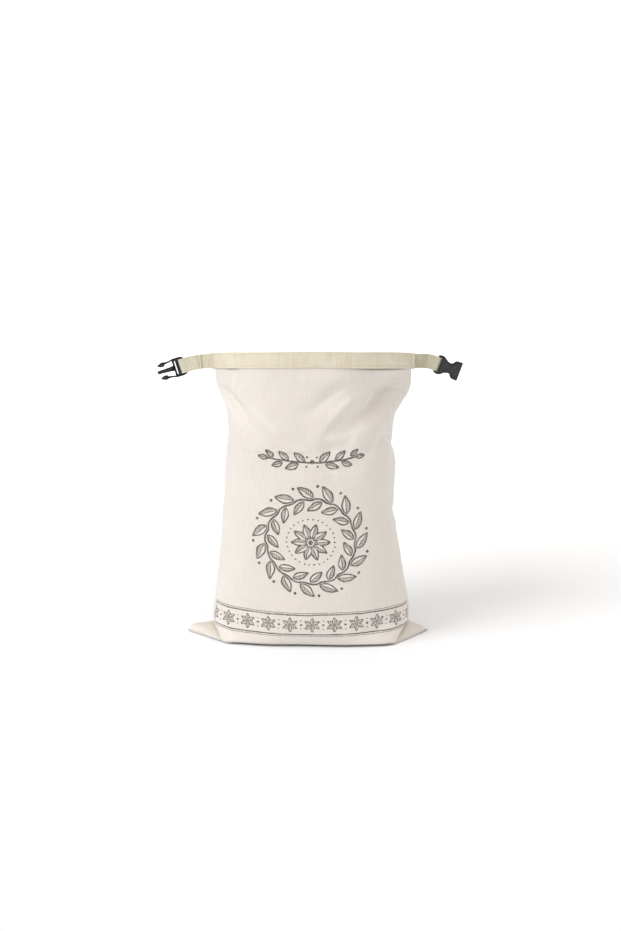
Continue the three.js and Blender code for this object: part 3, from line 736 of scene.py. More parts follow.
threads = thread_height(warp_at, weft_at, 1).math("MAXIMUM", thread_height(weft_at, warp_at, -1))
warp_slubs = drawn_out(weave_group, place, *WARP_SLUB_SIZE)
weft_slubs = drawn_out(weave_group, place, *WEFT_SLUB_SIZE)
slubs = (warp_slubs - 0.5) * WARP_SLUB_SHARE + (weft_slubs - 0.5) * WEFT_SLUB_SHARE
clouds = noise(weave_group, place, 1 / CLOUD_SIZE, 4.0, 0.55)
plug(weave_group, threads * THREAD_HEIGHT + slubs * SLUB_HEIGHT, weave_out.inputs["Height"])
plug(weave_group, slubs, weave_out.inputs["Slubs"])
plug(weave_group, clouds, weave_out.inputs["Clouds"])


def new_material(name, roughness, sheen=0.0):
    """A material with its Principled shader, whose constants are set on the shader's own sockets."""
    material = bpy.data.materials.new(name)
    material.use_nodes = True
    shader = material.node_tree.nodes["Principled BSDF"]
    shader.inputs["Roughness"].default_value = roughness
    shader.inputs["Sheen Weight"].default_value = sheen
    return material, material.node_tree, shader


def bump(tree, height, strength, distance):
    node = tree.nodes.new("ShaderNodeBump")
    node.inputs["Strength"].default_value = strength
    node.inputs["Distance"].default_value = distance
    plug(tree, height, node.inputs["Height"])
    return node.outputs["Normal"]


def read_points(tree, name):
    node = tree.nodes.new("ShaderNodeAttribute")
    node.attribute_type = "GEOMETRY"
    node.attribute_name = name
    return Field(tree, node.outputs["Fac"])


def read_uv(tree, name):
    node = tree.nodes.new("ShaderNodeUVMap")
    node.uv_map = name
    return node.outputs["UV"]


COTTON_ROUGHNESS = 0.66
COTTON_SHEEN = 0.12
COTTON_RELIEF = 0.00022
COTTON = (0.700, 0.660, 0.622, 1)
COTTON_DARK_THREAD = (0.625, 0.581, 0.533, 1)
COTTON_WAXED = (0.672, 0.626, 0.574, 1)
COTTON_CREASED = (0.732, 0.702, 0.668, 1)
# Painted shadow: the colour laid on the cloth in place of the narrow gaps along the base and under the tape.
PAINTED_GAP_SHADOW = (0.115, 0.083, 0.045, 1)
INK = (0.090, 0.066, 0.064, 1)


def cotton_material(name, ink_group=None):
    """Waxed cotton, with print on it if a group that gives the ink is named."""
    material, tree, shader = new_material(name, COTTON_ROUGHNESS, COTTON_SHEEN)
    cut = read_uv(tree, "Cut")
    weave = place_group(tree, weave_group, Place=cut)
    slubs = Field(tree, weave.outputs["Slubs"])
    clouded = Field(tree, weave.outputs["Clouds"]).tone(2.4, -0.75)
    creased = read_points(tree, "creased")
    colour = mixed(tree, slubs.tone(1.5, 0.42), COTTON, COTTON_DARK_THREAD)
    colour = mixed(tree, clouded * 0.55, colour, COTTON_WAXED)
    colour = mixed(tree, (creased * 0.5).held(), colour, COTTON_CREASED)
    # The narrow gaps along the base and under the tape are painted in as a darker line: painted shadow.
    colour = mixed(tree, read_points(tree, "gap shade"), colour, PAINTED_GAP_SHADOW)
    dull = clouded * -0.1 + creased * 0.08 + COTTON_ROUGHNESS
    if ink_group:
        print_on = place_group(tree, ink_group, Place=cut)
        ink = Field(tree, print_on.outputs["Ink"]) * slubs.tone(1.3, 0.96)
        colour = mixed(tree, ink, colour, INK)
        dull = dull + ink * 0.08
    plug(tree, colour, shader.inputs["Base Color"])
    plug(tree, dull, shader.inputs["Roughness"])
    plug(tree, bump(tree, weave.outputs["Height"], 0.5, COTTON_RELIEF), shader.inputs["Normal"])
    return material


# The print on the front is one colour of ink, screened on before waxing: a leafy sprig, a ring of leaves
# round a flower, and a band of small flowers between rules near the base. Leaves have a midrib and hatched
# shading. Sizes are in millimetres over the cut cloth, and the wander makes lines as if drawn by hand.
WANDER = 2.2
WANDER_SCALE = 90
INK_EDGE = 0.35
LEAF_LINE = 1.1
LEAF_TIP = (1.02, 0.05)
LEAF_LOPSIDED = 0.3
MIDRIB_SHARE = 0.6
MIDRIB_ENDS = (0.86, 0.1)
HATCH_SLANT = (0.8, 0.75)
HATCH_PITCH = 2.3
HATCH_LINE = (0.24, 0.14)
HATCH_STARTS = 0.08
print_group, print_in, print_out = new_group("printed leaves", [("Place", VECTOR, None)], [("Ink", FLOAT)])
print_place = print_in.outputs["Place"]
wander = print_group.nodes.new("ShaderNodeTexNoise")
wander.inputs["Scale"].default_value = WANDER_SCALE
wander.inputs["Detail"].default_value = 1
print_group.links.new(print_place, wander.inputs["Vector"])
wander_split = print_group.nodes.new("ShaderNodeSeparateColor")
print_group.links.new(wander.outputs["Color"], wander_split.inputs[0])
across_mm, up_mm = (
    coordinate / MM + (Field(print_group, stray) - 0.5) * WANDER
    for coordinate, stray in zip(coordinates(print_group, print_place), wander_split.outputs)
)


def all_of(inks):
    """Ink wherever one of the inks lies."""
    joined = inks[0]
    for ink in inks[1:]:
        joined = joined.math("MAXIMUM", ink)
    return joined


def leaf_ink(x, y, length, width, line=LEAF_LINE):
    """A leaf along x with its outline, midrib, and hatching on one half."""
    share = x / (length / 2)
    half = (1 - share * share) * (1 - share * LEAF_LOPSIDED) * (width / 2)
    on_leaf = share.within(*LEAF_TIP)
    inside = (half - abs(y)).above(0, INK_EDGE) * on_leaf
    edge = (half - abs(y)).within(line, INK_EDGE) * on_leaf
    midrib = y.within(line * MIDRIB_SHARE, INK_EDGE) * inside * share.within(*MIDRIB_ENDS)
    slanted = x * HATCH_SLANT[0] - y * HATCH_SLANT[1]
    hatch = (slanted / HATCH_PITCH).from_nearest().within(*HATCH_LINE)
    shaded = inside * y.above(width * HATCH_STARTS, INK_EDGE)
    return all_of([edge, midrib, hatch * shaded])


def turned_leaf(x, y, degrees, length, width, line=LEAF_LINE):
    """A leaf round its own middle, turned from the x direction."""
    cosine, sine = math.cos(math.radians(degrees)), math.sin(math.radians(degrees))
    return leaf_ink(x * cosine + y * sine, y * cosine - x * sine, length, width, line)


def dot_ink(x, y, radius):
    return x.length(y).within(radius, INK_EDGE)


def round_a_ring(x, y, radius, count, phase):
    """Coordinates along and out from the nearest of count places spaced round a ring."""
    turn = y.math("ARCTAN2", x) * (count / (2 * math.pi)) + phase
    local = turn.from_nearest() * (2 * math.pi / count)
    from_middle = x.length(y)
    return from_middle * local.math("SINE"), from_middle * local.math("COSINE") - radius


# The ring: a swaying stem with leaves outside and inside it and dots between. A flower in a ring of dots is
# in its middle.
RING_CENTRE = (2, 226)
RING_RADIUS = 61
RING_LEAVES = 15
STEM_HALF = 1.35
STEM_SWAY = 1.1
STEM_WAVE = 26
FLOWER_PETALS = 10
PETAL_RADIUS = 16
DOT_RING_RADIUS = 33
ring_x = across_mm - RING_CENTRE[0]
ring_y = up_mm - RING_CENTRE[1]
along, out = round_a_ring(ring_x, ring_y, RING_RADIUS, RING_LEAVES, 0)
stem_sway = (along * (2 * math.pi / STEM_WAVE)).math("SINE") * STEM_SWAY
inks = [
    (out - stem_sway).within(STEM_HALF, INK_EDGE),
    turned_leaf(along, out - 10.5, degrees=40, length=27, width=11),
]
along, out = round_a_ring(ring_x, ring_y, RING_RADIUS, RING_LEAVES, 0.5)
inks.append(turned_leaf(along, out + 9.5, degrees=-38, length=23, width=9.5))
inks.append(dot_ink(along, out - 19, radius=2.1))
along, out = round_a_ring(ring_x, ring_y, PETAL_RADIUS, FLOWER_PETALS, 0)
inks.append(turned_leaf(along, out, degrees=90, length=22, width=9.5))
inks.append(dot_ink(ring_x, ring_y, radius=3.4))
along, out = round_a_ring(ring_x, ring_y, DOT_RING_RADIUS, 3 * FLOWER_PETALS, 0)
inks.append(dot_ink(along, out, radius=1.2))

# The sprig over the ring is the same to both sides of its middle, on a stem that curves up to its ends. Each
# leaf has its place along the stem, its side of it and its length. Dots lie in and round the middle.
SPRIG_REACH = 338
SPRIG_HALF_LENGTH = 62
SPRIG_RISE = 7
SPRIG_STEM_HALF = 1.2
SPRIG_LEAF_OUT = 6.5
SPRIG_LEAF_TURN = 12
SPRIG_LEAF_SPREAD = 30
SPRIG_LEAF_SLIM = 0.42
SPRIG_DOTS = [(0, 1, 3), (7.5, -5.5, 1.5), (6.5, 7, 1.5)]
SPRIG_LEAVES = [(17, 1, 20), (27, -1, 19), (38, 1, 18), (47, -1, 16), (57, 1, 14), (66, -0.1, 14)]
sprig_x = abs(across_mm - RING_CENTRE[0])
sprig_y = up_mm - SPRIG_REACH
stem_rise = (sprig_x / SPRIG_HALF_LENGTH) * (sprig_x / SPRIG_HALF_LENGTH) * SPRIG_RISE
sprig_stem = (sprig_y - stem_rise).within(SPRIG_STEM_HALF, INK_EDGE)
inks.append(sprig_stem * sprig_x.within(SPRIG_HALF_LENGTH - 2, 0.6))
for out_at, side, length in SPRIG_LEAVES:
    leaf_up = (out_at / SPRIG_HALF_LENGTH) ** 2 * SPRIG_RISE + side * SPRIG_LEAF_OUT
    degrees = SPRIG_LEAF_TURN + side * SPRIG_LEAF_SPREAD
    inks.append(turned_leaf(sprig_x - out_at, sprig_y - leaf_up, degrees, length, length * SPRIG_LEAF_SLIM))
for out_at, up_at, radius in SPRIG_DOTS:
    inks.append(dot_ink(sprig_x - out_at, sprig_y - up_at, radius))

# The band: small flowers with dots between them, and a broad and a fine rule along each side. A rule has its
# distance from the band's middle line and its half width.
BAND_REACH = 101
BAND_PITCH = 31
BAND_HALF_LENGTH = 156
BAND_PETALS = 6
BAND_PETAL_RADIUS = 6.3
BAND_RULES = [(15.5, 0.95), (18.4, 0.45)]
band_y = up_mm - BAND_REACH
band_turn = across_mm / BAND_PITCH
band_x = band_turn.from_nearest() * BAND_PITCH
between_x = (band_turn + 0.5).from_nearest() * BAND_PITCH
along, out = round_a_ring(band_x, band_y, BAND_PETAL_RADIUS, BAND_PETALS, 0.5)
band_ink = all_of([
    turned_leaf(along, out, degrees=90, length=11, width=5, line=0.6),
    dot_ink(between_x, band_y, radius=1.7),
    dot_ink(between_x, abs(band_y) - 6.5, radius=0.95),
    *((abs(band_y) - off_middle).within(half_width, INK_EDGE) for off_middle, half_width in BAND_RULES),
])
inks.append(band_ink * across_mm.within(BAND_HALF_LENGTH, 0.5))
plug(print_group, all_of(inks), print_out.inputs["Ink"])

printed_cotton = cotton_material("printed waxed cotton", print_group)
plain_cotton = cotton_material("plain waxed cotton")
for cloth, other, node, slot, outside in (
    (front_cloth, back_cloth, "front_panel", "printed_cotton", printed_cotton),
    (back_cloth, front_cloth, "back_panel", "waxed_cotton", plain_cotton),
):
    cloth.data.materials[0] = outside
    cloth.data.materials[1] = plain_cotton
    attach(cloth, "root")
    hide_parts(node)


# Mouth tape. A ribbed cotton webbing is sewn round the outside of the mouth, one length on each panel. The
# lengths run on flat past the side seams, where they clamp the ends of the tabs between them.
TAPE_THICKNESS = 1.25
TAPE_OFF_CLOTH = 0.12
TAPE_PAST_SEAM = 4.5
TAPE_FOLLOWS_CLOTH = 164
TAPE_FLAT_FROM_SEAM = 1.0
TAPE_OFF_TAB = 0.1
TAPE_EASING = (1, 2, 3, 4, 3, 2, 1)
TAPE_STEP = 0.42
TAPE_RING_STEPS = 23
TAB_THICKNESS = 1.15
RIB_PITCH = 1.8
RIB_DEPTH = 0.13
STITCH_INSET = 3.0
STITCH_ROWS = (STITCH_INSET, TAPE_HEIGHT - STITCH_INSET)
STITCH_GROOVE = 0.3
STITCH_GROOVE_WIDTH = 0.8
TAPE_EDGE_ROUNDING = 0.55
TAPE_ROLL = 0.4
TAPE_ROLL_HALF = 1.1

# Stretches where the cloth below draws away and leaves the tape's foot standing off it: the middle along the
# cut cloth, the half length and how far.
TAPE_LIFTS = {"front": [(108, 42, 2.3), (-138, 20, 0.8)], "back": [(-60, 50, 1.2), (130, 22, 0.9)]}
TAPE_LIFT_HEIGHT = 3.2


def tape_path(panel, level):
    """The tape's line in plan at one level, past both seams, and the lengths along it."""
    reach = TAPE_FOOT + (CUT_LENGTH - TAPE_FOOT) * level
    s = np.arange(-TAPE_FOLLOWS_CLOTH, TAPE_FOLLOWS_CLOTH + 1)
    along = on_cloth(panel, s, reach, relief=False)
    flange_y = FORWARD[panel] * (TAB_THICKNESS / 2 + TAPE_OFF_TAB)
    ends = []
    for side, start in ((-1, along[0]), (1, along[-1])):
        seam = on_cloth(panel, side * HALF_CUT, reach, relief=False)
        bend = np.array([seam[0] - side * TAPE_FLAT_FROM_SEAM, flange_y, seam[2]])
        stop = np.array([seam[0] + side * TAPE_PAST_SEAM, flange_y, seam[2]])
        ends.append(np.concatenate([np.linspace(start, bend, 11)[1:], np.linspace(bend, stop, 7)[1:]]))
    points = np.concatenate([ends[0][::-1], along, ends[1]])
    spare = len(TAPE_EASING) // 2
    padded = np.concatenate([points[:1]] * spare + [points] + [points[-1:]] * spare)
    weighed = [padded[i:i + len(points)] * weight for i, weight in enumerate(TAPE_EASING)]
    eased = sum(weighed) / sum(TAPE_EASING)
    eased[[0, -1]] = points[[0, -1]]
    eased[:, 2] += TAPE_RISE * level
    return eased, lengths_along(eased)


tape_levels = np.linspace(0, 1, 5)
tape_paths = {panel: [tape_path(panel, level) for level in tape_levels] for panel in PANELS}
tape_length = {panel: paths[2][1][-1] for panel, paths in tape_paths.items()}
TAPE_SIDE_STEP = 1.5


def on_tape(panel, along, level, proud):
    """Points over the tape's inner face. along is from its left end, level from 0 at its foot to 1."""
    along, level, proud = (np.array(a, float) for a in np.broadcast_arrays(along, level, proud))
    points = np.zeros(along.shape + (3,))
    spread = level * (len(tape_levels) - 1)
    for number, (path, lengths) in enumerate(tape_paths[panel]):
        weight = np.clip(1 - np.abs(spread - number), 0, 1)
        share = along / tape_length[panel] * lengths[-1]
        here = on_line(path, lengths, share)
        ahead = on_line(path[:, :2], lengths, share + TAPE_SIDE_STEP)
        tangent = ahead - on_line(path[:, :2], lengths, share - TAPE_SIDE_STEP)
        outward = np.stack([tangent[..., 1], -tangent[..., 0]], -1) * -FORWARD[panel]
        outward /= np.maximum(np.linalg.norm(outward, axis=-1), 1e-9)[..., None]
        here[..., :2] += outward * proud[..., None]
        points += here * weight[..., None]
    return points


EDGE_WEAVE_SHARE = 0.3


def strip_ring(width, thickness, rounding, steps):
    """Outline of a webbing's cross section, as height over its width and distance from its inner face, and
    how much of the outer and the inner weave shows there."""
    flat = np.linspace(rounding, width - rounding, steps)
    edge = width - rounding
    turns = [(rounding * math.sin(a), rounding * math.cos(a)) for a in np.linspace(0, math.pi / 2, 4)[1:-1]]
    outer = [(h, thickness, 1, 0) for h in flat]
    top = [(edge + sine, thickness - rounding + cosine, EDGE_WEAVE_SHARE, 0) for sine, cosine in turns]
    top.append((width, thickness / 2, 0, 0))
    top += [(edge + cosine, rounding - sine, 0, EDGE_WEAVE_SHARE) for sine, cosine in turns]
    inner = [(h, 0, 0, 1) for h in flat[::-1]]
    bottom = [(width - h, thickness - away, *shares) for h, away, *shares in top]
    return np.array(outer + top + inner + bottom)


def tube_faces(rings, around):
    """Faces of a closed tube of rings, with its two ends closed."""
    number = np.arange(rings * around).reshape(rings, around)
    following = np.roll(number, -1, axis=1)
    sides = np.stack([number[:-1], following[:-1], following[1:], number[1:]], -1).reshape(-1, 4)
    return [*sides.tolist(), number[0][::-1].tolist(), number[-1].tolist()]


def strip_piece(name, points, along, height):
    """A webbing from its rings of points, with its place over the flat webbing as a UV map."""
    piece = new_mesh(name, in_metres(points.reshape(-1, 3)), tube_faces(*points.shape[:2]))
    flat = np.stack(np.broadcast_arrays(along[:, None], height), -1)
    give_uv(piece, "Cut", flat.reshape(-1, 2) * MM)
    return piece


def tape_piece(panel):
    ring = strip_ring(TAPE_HEIGHT, TAPE_THICKNESS, TAPE_EDGE_ROUNDING, TAPE_RING_STEPS)
    along = np.arange(0, tape_length[panel] + TAPE_STEP / 2, TAPE_STEP)
    height, away, outer_share, _ = ring.T
    ribs = RIB_DEPTH * np.cos(2 * np.pi * along / RIB_PITCH)
    grooves = sum(np.exp(-((height - row) / STITCH_GROOVE_WIDTH) ** 2) for row in STITCH_ROWS)
    roll = TAPE_ROLL * np.exp(-((height - TAPE_ROLL_HALF) / TAPE_ROLL_HALF) ** 2)
    proud = away + TAPE_OFF_CLOTH + (roll - STITCH_GROOVE * grooves) * outer_share
    s = along - tape_length[panel] / 2
    lifts = [far * np.exp(-((s - middle) / half) ** 2) for middle, half, far in TAPE_LIFTS[panel]]
    foot = np.exp(-(height / TAPE_LIFT_HEIGHT) ** 2)
    proud = proud[None, :] + ribs[:, None] * outer_share[None, :] + sum(lifts)[:, None] * foot[None, :]
    points = on_tape(panel, along[:, None], height / TAPE_HEIGHT, proud)
    return strip_piece("tape_" + panel, points, along, height)


front_tape = tape_piece("front")
back_tape = tape_piece("back")

# Cotton webbing: yarns thicker than the cloth's, unbleached, with a little colour from yarn to yarn. Where it
# is stitched, the needle has left a row of small dark holes. Yarn colours are plain, dark and pale.
TAPE_YARNS = ((0.665, 0.610, 0.485, 1), (0.545, 0.487, 0.362, 1), (0.737, 0.690, 0.580, 1))
WEBBING_ROUGHNESS = 0.78
WEBBING_SHEEN = 0.2
NEEDLE_HOLE = (0.30, 0.235, 0.150, 1)
NEEDLE_HOLE_RADIUS = 0.42
STITCH_PITCH = 3.3
STITCH_LENGTH = 2.75
FIRST_STITCH = 3
FIRST_HOLE = FIRST_STITCH - (STITCH_PITCH - STITCH_LENGTH) / 2


def webbing_material(name, pitch, relief, yarns, hole_rows=()):
    """Cotton webbing from the pitch and the relief of its yarns, with needle holes in the rows it names."""
    plain, dark, pale = yarns
    material, tree, shader = new_material(name, WEBBING_ROUGHNESS, WEBBING_SHEEN)
    cut = read_uv(tree, "Cut")
    weave = place_group(tree, weave_group, Place=cut, Pitch=pitch)
    slubs = Field(tree, weave.outputs["Slubs"])
    clouds = Field(tree, weave.outputs["Clouds"])
    colour = mixed(tree, slubs.tone(1.8, 0.4), plain, dark)
    colour = mixed(tree, clouds.tone(1.6, -0.5), colour, pale)
    if hole_rows:
        along, height = (coordinate / MM for coordinate in coordinates(tree, cut))
        from_hole = ((along - FIRST_HOLE) / STITCH_PITCH).from_nearest() * STITCH_PITCH
        for row in hole_rows:
            holed = from_hole.length(height - row).within(NEEDLE_HOLE_RADIUS, 0.4)
            colour = mixed(tree, holed * 0.8, colour, NEEDLE_HOLE)
    plug(tree, colour, shader.inputs["Base Color"])
    plug(tree, slubs * 0.15 + WEBBING_ROUGHNESS, shader.inputs["Roughness"])
    plug(tree, bump(tree, weave.outputs["Height"], 0.6, relief), shader.inputs["Normal"])
    return material


tape_webbing = webbing_material("mouth webbing", 0.0009, 0.00025, TAPE_YARNS, STITCH_ROWS)
for tape, node in ((front_tape, "mouth_tape_front"), (back_tape, "mouth_tape_back")):
    tape.data.materials.append(tape_webbing)
    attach(tape, "root")
    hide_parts(node)


# Stitches of the mouth. Cotton thread holds the tape and the turned hem in two rows, seen on the outside and
# on the inside, and a row down each end of the tape closes it over the tab.
THREAD_RADIUS = 0.27
STITCH_SIDES = 6
STITCH_SIDE_WIDTH = 0.3
STITCH_LIFT = np.array([-0.32, 0.0, 0.13, 0.2, 0.13, 0.0, -0.32])
TAPE_END_CLEAR = 2
HEM_STITCHED_HALF = 168
HEM_CLEAR = 0.02
END_ROW_INSET = 3.2
END_ROW_FOOT = 3.6
END_ROW_TOP = 19


def stitch_piece(name, rows):
    """Short thread humps from each start to each end of the rows, which dive in at both."""
    starts, ends, outward = (np.concatenate(part) for part in zip(*rows))
    share = np.linspace(0, 1, len(STITCH_LIFT))
    run = ends - starts
    run_unit = run / np.linalg.norm(run, axis=1)[:, None]
    outward = outward / np.linalg.norm(outward, axis=1)[:, None]
    sideways = np.cross(run_unit, outward)
    spine = starts[:, None] + run[:, None] * share[None, :, None]
    spine = spine + outward[:, None] * STITCH_LIFT[None, :, None]
    angles = (2 * np.pi * np.arange(STITCH_SIDES) / STITCH_SIDES)[None, :, None]
    around = sideways[:, None] * np.cos(angles) + outward[:, None] * np.sin(angles)
    points = spine[:, :, None] + around[:, None] * THREAD_RADIUS
    one = tube_faces(len(share), STITCH_SIDES)
    size = len(share) * STITCH_SIDES
    faces = [[corner + size * i for corner in face] for i in range(len(starts)) for face in one]
    piece = new_mesh(name, in_metres(points.reshape(-1, 3)), faces)
    places = np.tile(np.linspace(0, STITCH_LENGTH, len(share))[:, None], (len(starts), STITCH_SIDES)).ravel()
    sides = np.tile(np.arange(STITCH_SIDES) * STITCH_SIDE_WIDTH, len(starts) * len(share))
    give_uv(piece, "Thread", np.stack([places, sides], -1) * MM)
    return piece


def row_over(points_at, first, last):
    """Starts, ends and outward directions of a row of stitches, from a function that gives the points of a
    surface at some lengths and a height over it."""
    starts = np.arange(first, last - STITCH_LENGTH, STITCH_PITCH)
    middles = starts + STITCH_LENGTH / 2
    outward = points_at(middles, 1.0) - points_at(middles, 0.0)
    return points_at(starts, 0.0), points_at(starts + STITCH_LENGTH, 0.0), outward


def mouth_stitches(panel):
    length = tape_length[panel]
    face = TAPE_OFF_CLOTH + TAPE_THICKNESS
    hem = HEM_THICKNESS + HEM_CLEAR
    rows = []
    for inset in STITCH_ROWS:
        reach = TAPE_FOOT + inset - (TAPE_RISE if inset > TAPE_HEIGHT / 2 else 0)

        def over_tape(along, over):
            return on_tape(panel, along, inset / TAPE_HEIGHT, face - STITCH_GROOVE + over)

        def over_hem(s, over):
            return on_cloth(panel, s, reach, -hem - over, relief=False)

        rows.append(row_over(over_tape, FIRST_STITCH, length - TAPE_END_CLEAR))
        rows.append(row_over(over_hem, -HEM_STITCHED_HALF, HEM_STITCHED_HALF))
    for place in (END_ROW_INSET, length - END_ROW_INSET):

        def over_end(height, over):
            return on_tape(panel, place, height / TAPE_HEIGHT, face + over)

        rows.append(row_over(over_end, END_ROW_FOOT, END_ROW_TOP))
    return stitch_piece("mouth_stitches_" + panel, rows)


PLY_LENGTH = 0.0005


def thread_material(name, pale, dark):
    """Twisted thread, dark between its plies."""
    material, tree, shader = new_material(name, 0.6, sheen=0.2)
    along, around = coordinates(tree, read_uv(tree, "Thread"))
    twist = ((along + around * 0.5) * (2 * math.pi / PLY_LENGTH)).math("SINE") * 0.5 + 0.5
    plug(tree, mixed(tree, twist, dark, pale), shader.inputs["Base Color"])
    plug(tree, bump(tree, twist, 0.5, 0.00008), shader.inputs["Normal"])
    return material


thread_cotton = thread_material("sewing thread", (0.80, 0.76, 0.66, 1), (0.64, 0.59, 0.47, 1))
for panel, tape, cloth in (("front", front_tape, front_cloth), ("back", back_tape, back_cloth)):
    stitches = mouth_stitches(panel)
    stitches.data.materials.append(thread_cotton)
    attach(stitches, "root")
    tape_flat = (tape_length[panel] * MM, TAPE_HEIGHT * MM)


# Tabs. Each is one length of herringbone webbing, sewn into a corner of the mouth, taken round the bar of a
# buckle half and back over itself, and stitched down across its tail. It droops under the buckle's weight.
TAB_WIDTH = 20
TAB_FROM_SEAM = 0.8
TAIL_FROM_ROOT = 15.5
TAIL_WELT = 1.4
TAIL_WELT_RISE = 0.5
TAIL_STITCHED = 3.5
TAIL_GROOVE = 0.45
TAIL_GROOVE_WIDTH = 0.9
TAIL_END_THINNED = 0.4
TAIL_END_LENGTH = 0.8
TAIL_ROW_MARGINS = (1.6, 0.6)
TAIL_FACE_CLEAR = 0.1
LAYER_GAP = 0.08
LOOP_TAIL = 5
LOOP_OPENS = 9
PIN_RADIUS = 1.5
PIN_CLEAR = 0.3
LOOP_RADIUS = PIN_RADIUS + PIN_CLEAR + TAB_THICKNESS / 2
ROOT_INSIDE_SEAM = 3.5
ROOT_FLAT = 4
TAB_STEP = 0.34
TAB_RING_STEPS = 29
TAB_EDGE_ROUNDING = 0.5
WALE_WIDTH = 5
TWILL_PITCH = 1.7
TWILL_DEPTH = 0.12
TAPE_MIDDLE = float(read_section("side_left", CUT_LENGTH)) + TAPE_RISE - TAPE_HEIGHT / 2

# Each tab leaves its root level, then bends down over a length to its droop in degrees, and ends straight.
TABS = {
    "left": {"side": -1, "level": 0, "bent": 38.8, "droop": 16.5, "buckle": "buckle_male"},
    "right": {"side": 1, "level": 15.4, "bent": 15.2, "droop": 19.5, "buckle": "buckle_female"},
}


def along_tab(tab, distance):
    """Place on a tab's middle line, outward and up from its root, and its angle below level."""
    full = math.radians(tab["droop"])
    in_bend = np.clip(distance - tab["level"], 0, tab["bent"])
    angle = full * in_bend / tab["bent"]
    radius = tab["bent"] / full
    straight = np.maximum(distance - tab["level"] - tab["bent"], 0)
    outward = np.minimum(distance, tab["level"]) + radius * np.sin(angle) + straight * np.cos(angle)
    return outward, -radius * (1 - np.cos(angle)) - straight * np.sin(angle), angle


def tab_root(tab):
    width = float(read_section("left" if tab["side"] < 0 else "right", CUT_LENGTH))
    return np.array([tab["side"] * (width + TAB_FROM_SEAM), 0, TAPE_MIDDLE])


def on_tab(tab, distance, y, across):
    """A point by its distance along the tab, its place through it and its place across the webbing."""
    outward, up, angle = along_tab(tab, distance)
    root = tab_root(tab)
    x = root[0] + tab["side"] * (outward + across * np.sin(angle))
    return np.stack([x, np.broadcast_to(y, x.shape), root[2] + up + across * np.cos(angle)], -1)


def tab_length(tab):
    return tab["level"] + tab["bent"] + LOOP_TAIL


def tab_line(tab):
    """The webbing's own line, as distance and place through the tab: out at the back, round the bar, and
    back over itself at the front. Also the lengths along it."""
    length = tab_length(tab)
    lies = TAB_THICKNESS / 2 + LAYER_GAP
    out = np.linspace(-ROOT_INSIDE_SEAM, length, 90)
    opened = smoothstep(out, length - LOOP_OPENS, length)
    back = lies * smoothstep(out, ROOT_FLAT, TAIL_FROM_ROOT) + (LOOP_RADIUS - lies) * opened
    angle = np.linspace(0, math.pi, 26)[1:-1]
    home = np.linspace(length, TAIL_FROM_ROOT, 60)
    closed = smoothstep(home, length - LOOP_OPENS, length)
    line = np.concatenate([
        np.stack([out, back], 1),
        np.stack([length + LOOP_RADIUS * np.sin(angle), LOOP_RADIUS * np.cos(angle)], 1),
        np.stack([home, -(lies + (LOOP_RADIUS - lies) * closed)], 1),
    ])
    lengths = lengths_along(line)
    run = np.arange(0, lengths[-1], TAB_STEP)
    return on_line(line, lengths, run), run


def tab_piece(name, tab):
    line, run = tab_line(tab)
    tangent = np.gradient(line, axis=0)
    tangent /= np.hypot(*tangent.T)[:, None]
    outward = np.stack([-tangent[:, 1], tangent[:, 0]], 1)
    ring = strip_ring(TAB_WIDTH, TAB_THICKNESS, TAB_EDGE_ROUNDING, TAB_RING_STEPS)
    height, away, outer_share, inner_share = ring.T
    across = height - TAB_WIDTH / 2
    wale = np.abs((height / WALE_WIDTH) % 2 - 1) * WALE_WIDTH
    twill = TWILL_DEPTH * np.cos(2 * np.pi * (run[:, None] + wale[None, :]) / TWILL_PITCH)
    ribs = RIB_DEPTH * np.cos(2 * np.pi * run[:, None] / RIB_PITCH)
    to_end = run[-1] - run
    seam_inside = run - (ROOT_INSIDE_SEAM + TAIL_FROM_ROOT + TAIL_STITCHED)
    grooves = [np.exp(-(off / TAIL_GROOVE_WIDTH) ** 2) for off in (to_end - TAIL_STITCHED, seam_inside)]
    welt = TAIL_WELT_RISE * np.exp(-((to_end - TAIL_WELT) / TAIL_GROOVE_WIDTH) ** 2)
    thinned = TAIL_END_THINNED * (1 - smoothstep(to_end, 0, TAIL_END_LENGTH))
    sewn = (welt - thinned - TAIL_GROOVE * sum(grooves))[:, None]
    off_line = (away - TAB_THICKNESS / 2)[None, :] + (twill + sewn) * outer_share - ribs * inner_share
    distance = line[:, :1] + outward[:, :1] * off_line
    through = line[:, 1:] + outward[:, 1:] * off_line
    points = on_tab(tab, distance, through, np.broadcast_to(across, distance.shape))
    return strip_piece(name, points, run, height), run[-1]


def tab_stitches(name, tab):
    """A row across the tail, through both layers, seen on both faces."""
    face = TAB_THICKNESS + TAIL_FACE_CLEAR - TAIL_GROOVE
    first, last = TAIL_ROW_MARGINS[0], TAB_WIDTH - TAIL_ROW_MARGINS[1]
    rows = []
    for forward in (-1, 1):

        def across_tab(height, over):
            distance = np.full_like(height, TAIL_FROM_ROOT + TAIL_STITCHED)
            return on_tab(tab, distance, forward * (face + over), height - TAB_WIDTH / 2)

        rows.append(row_over(across_tab, first, last))
    return stitch_piece(name, rows)


# Both tabs are the same webbing. The right one lies in shade in the photo that this light doesn't give it, so
# its yarns have a darker colour instead.
TAB_YARNS = {
    "left": ((0.640, 0.598, 0.465, 1), (0.515, 0.470, 0.338, 1), (0.705, 0.668, 0.548, 1)),
    "right": ((0.450, 0.418, 0.312, 1), (0.345, 0.310, 0.212, 1), (0.520, 0.487, 0.385, 1)),
}
thread_tan = thread_material("tan thread", (0.46, 0.37, 0.23, 1), (0.27, 0.20, 0.11, 1))
for which, tab in TABS.items():
    piece, cut_length = tab_piece("webbing_tab_" + which, tab)
    piece.data.materials.append(webbing_material(which + " tab webbing", 0.0008, 0.00022, TAB_YARNS[which]))
    stitches = tab_stitches("tab_stitches_" + which, tab)
    stitches.data.materials.append(thread_tan)
    for made in (piece, stitches):
        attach(made, "root")
    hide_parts("tab_" + which)


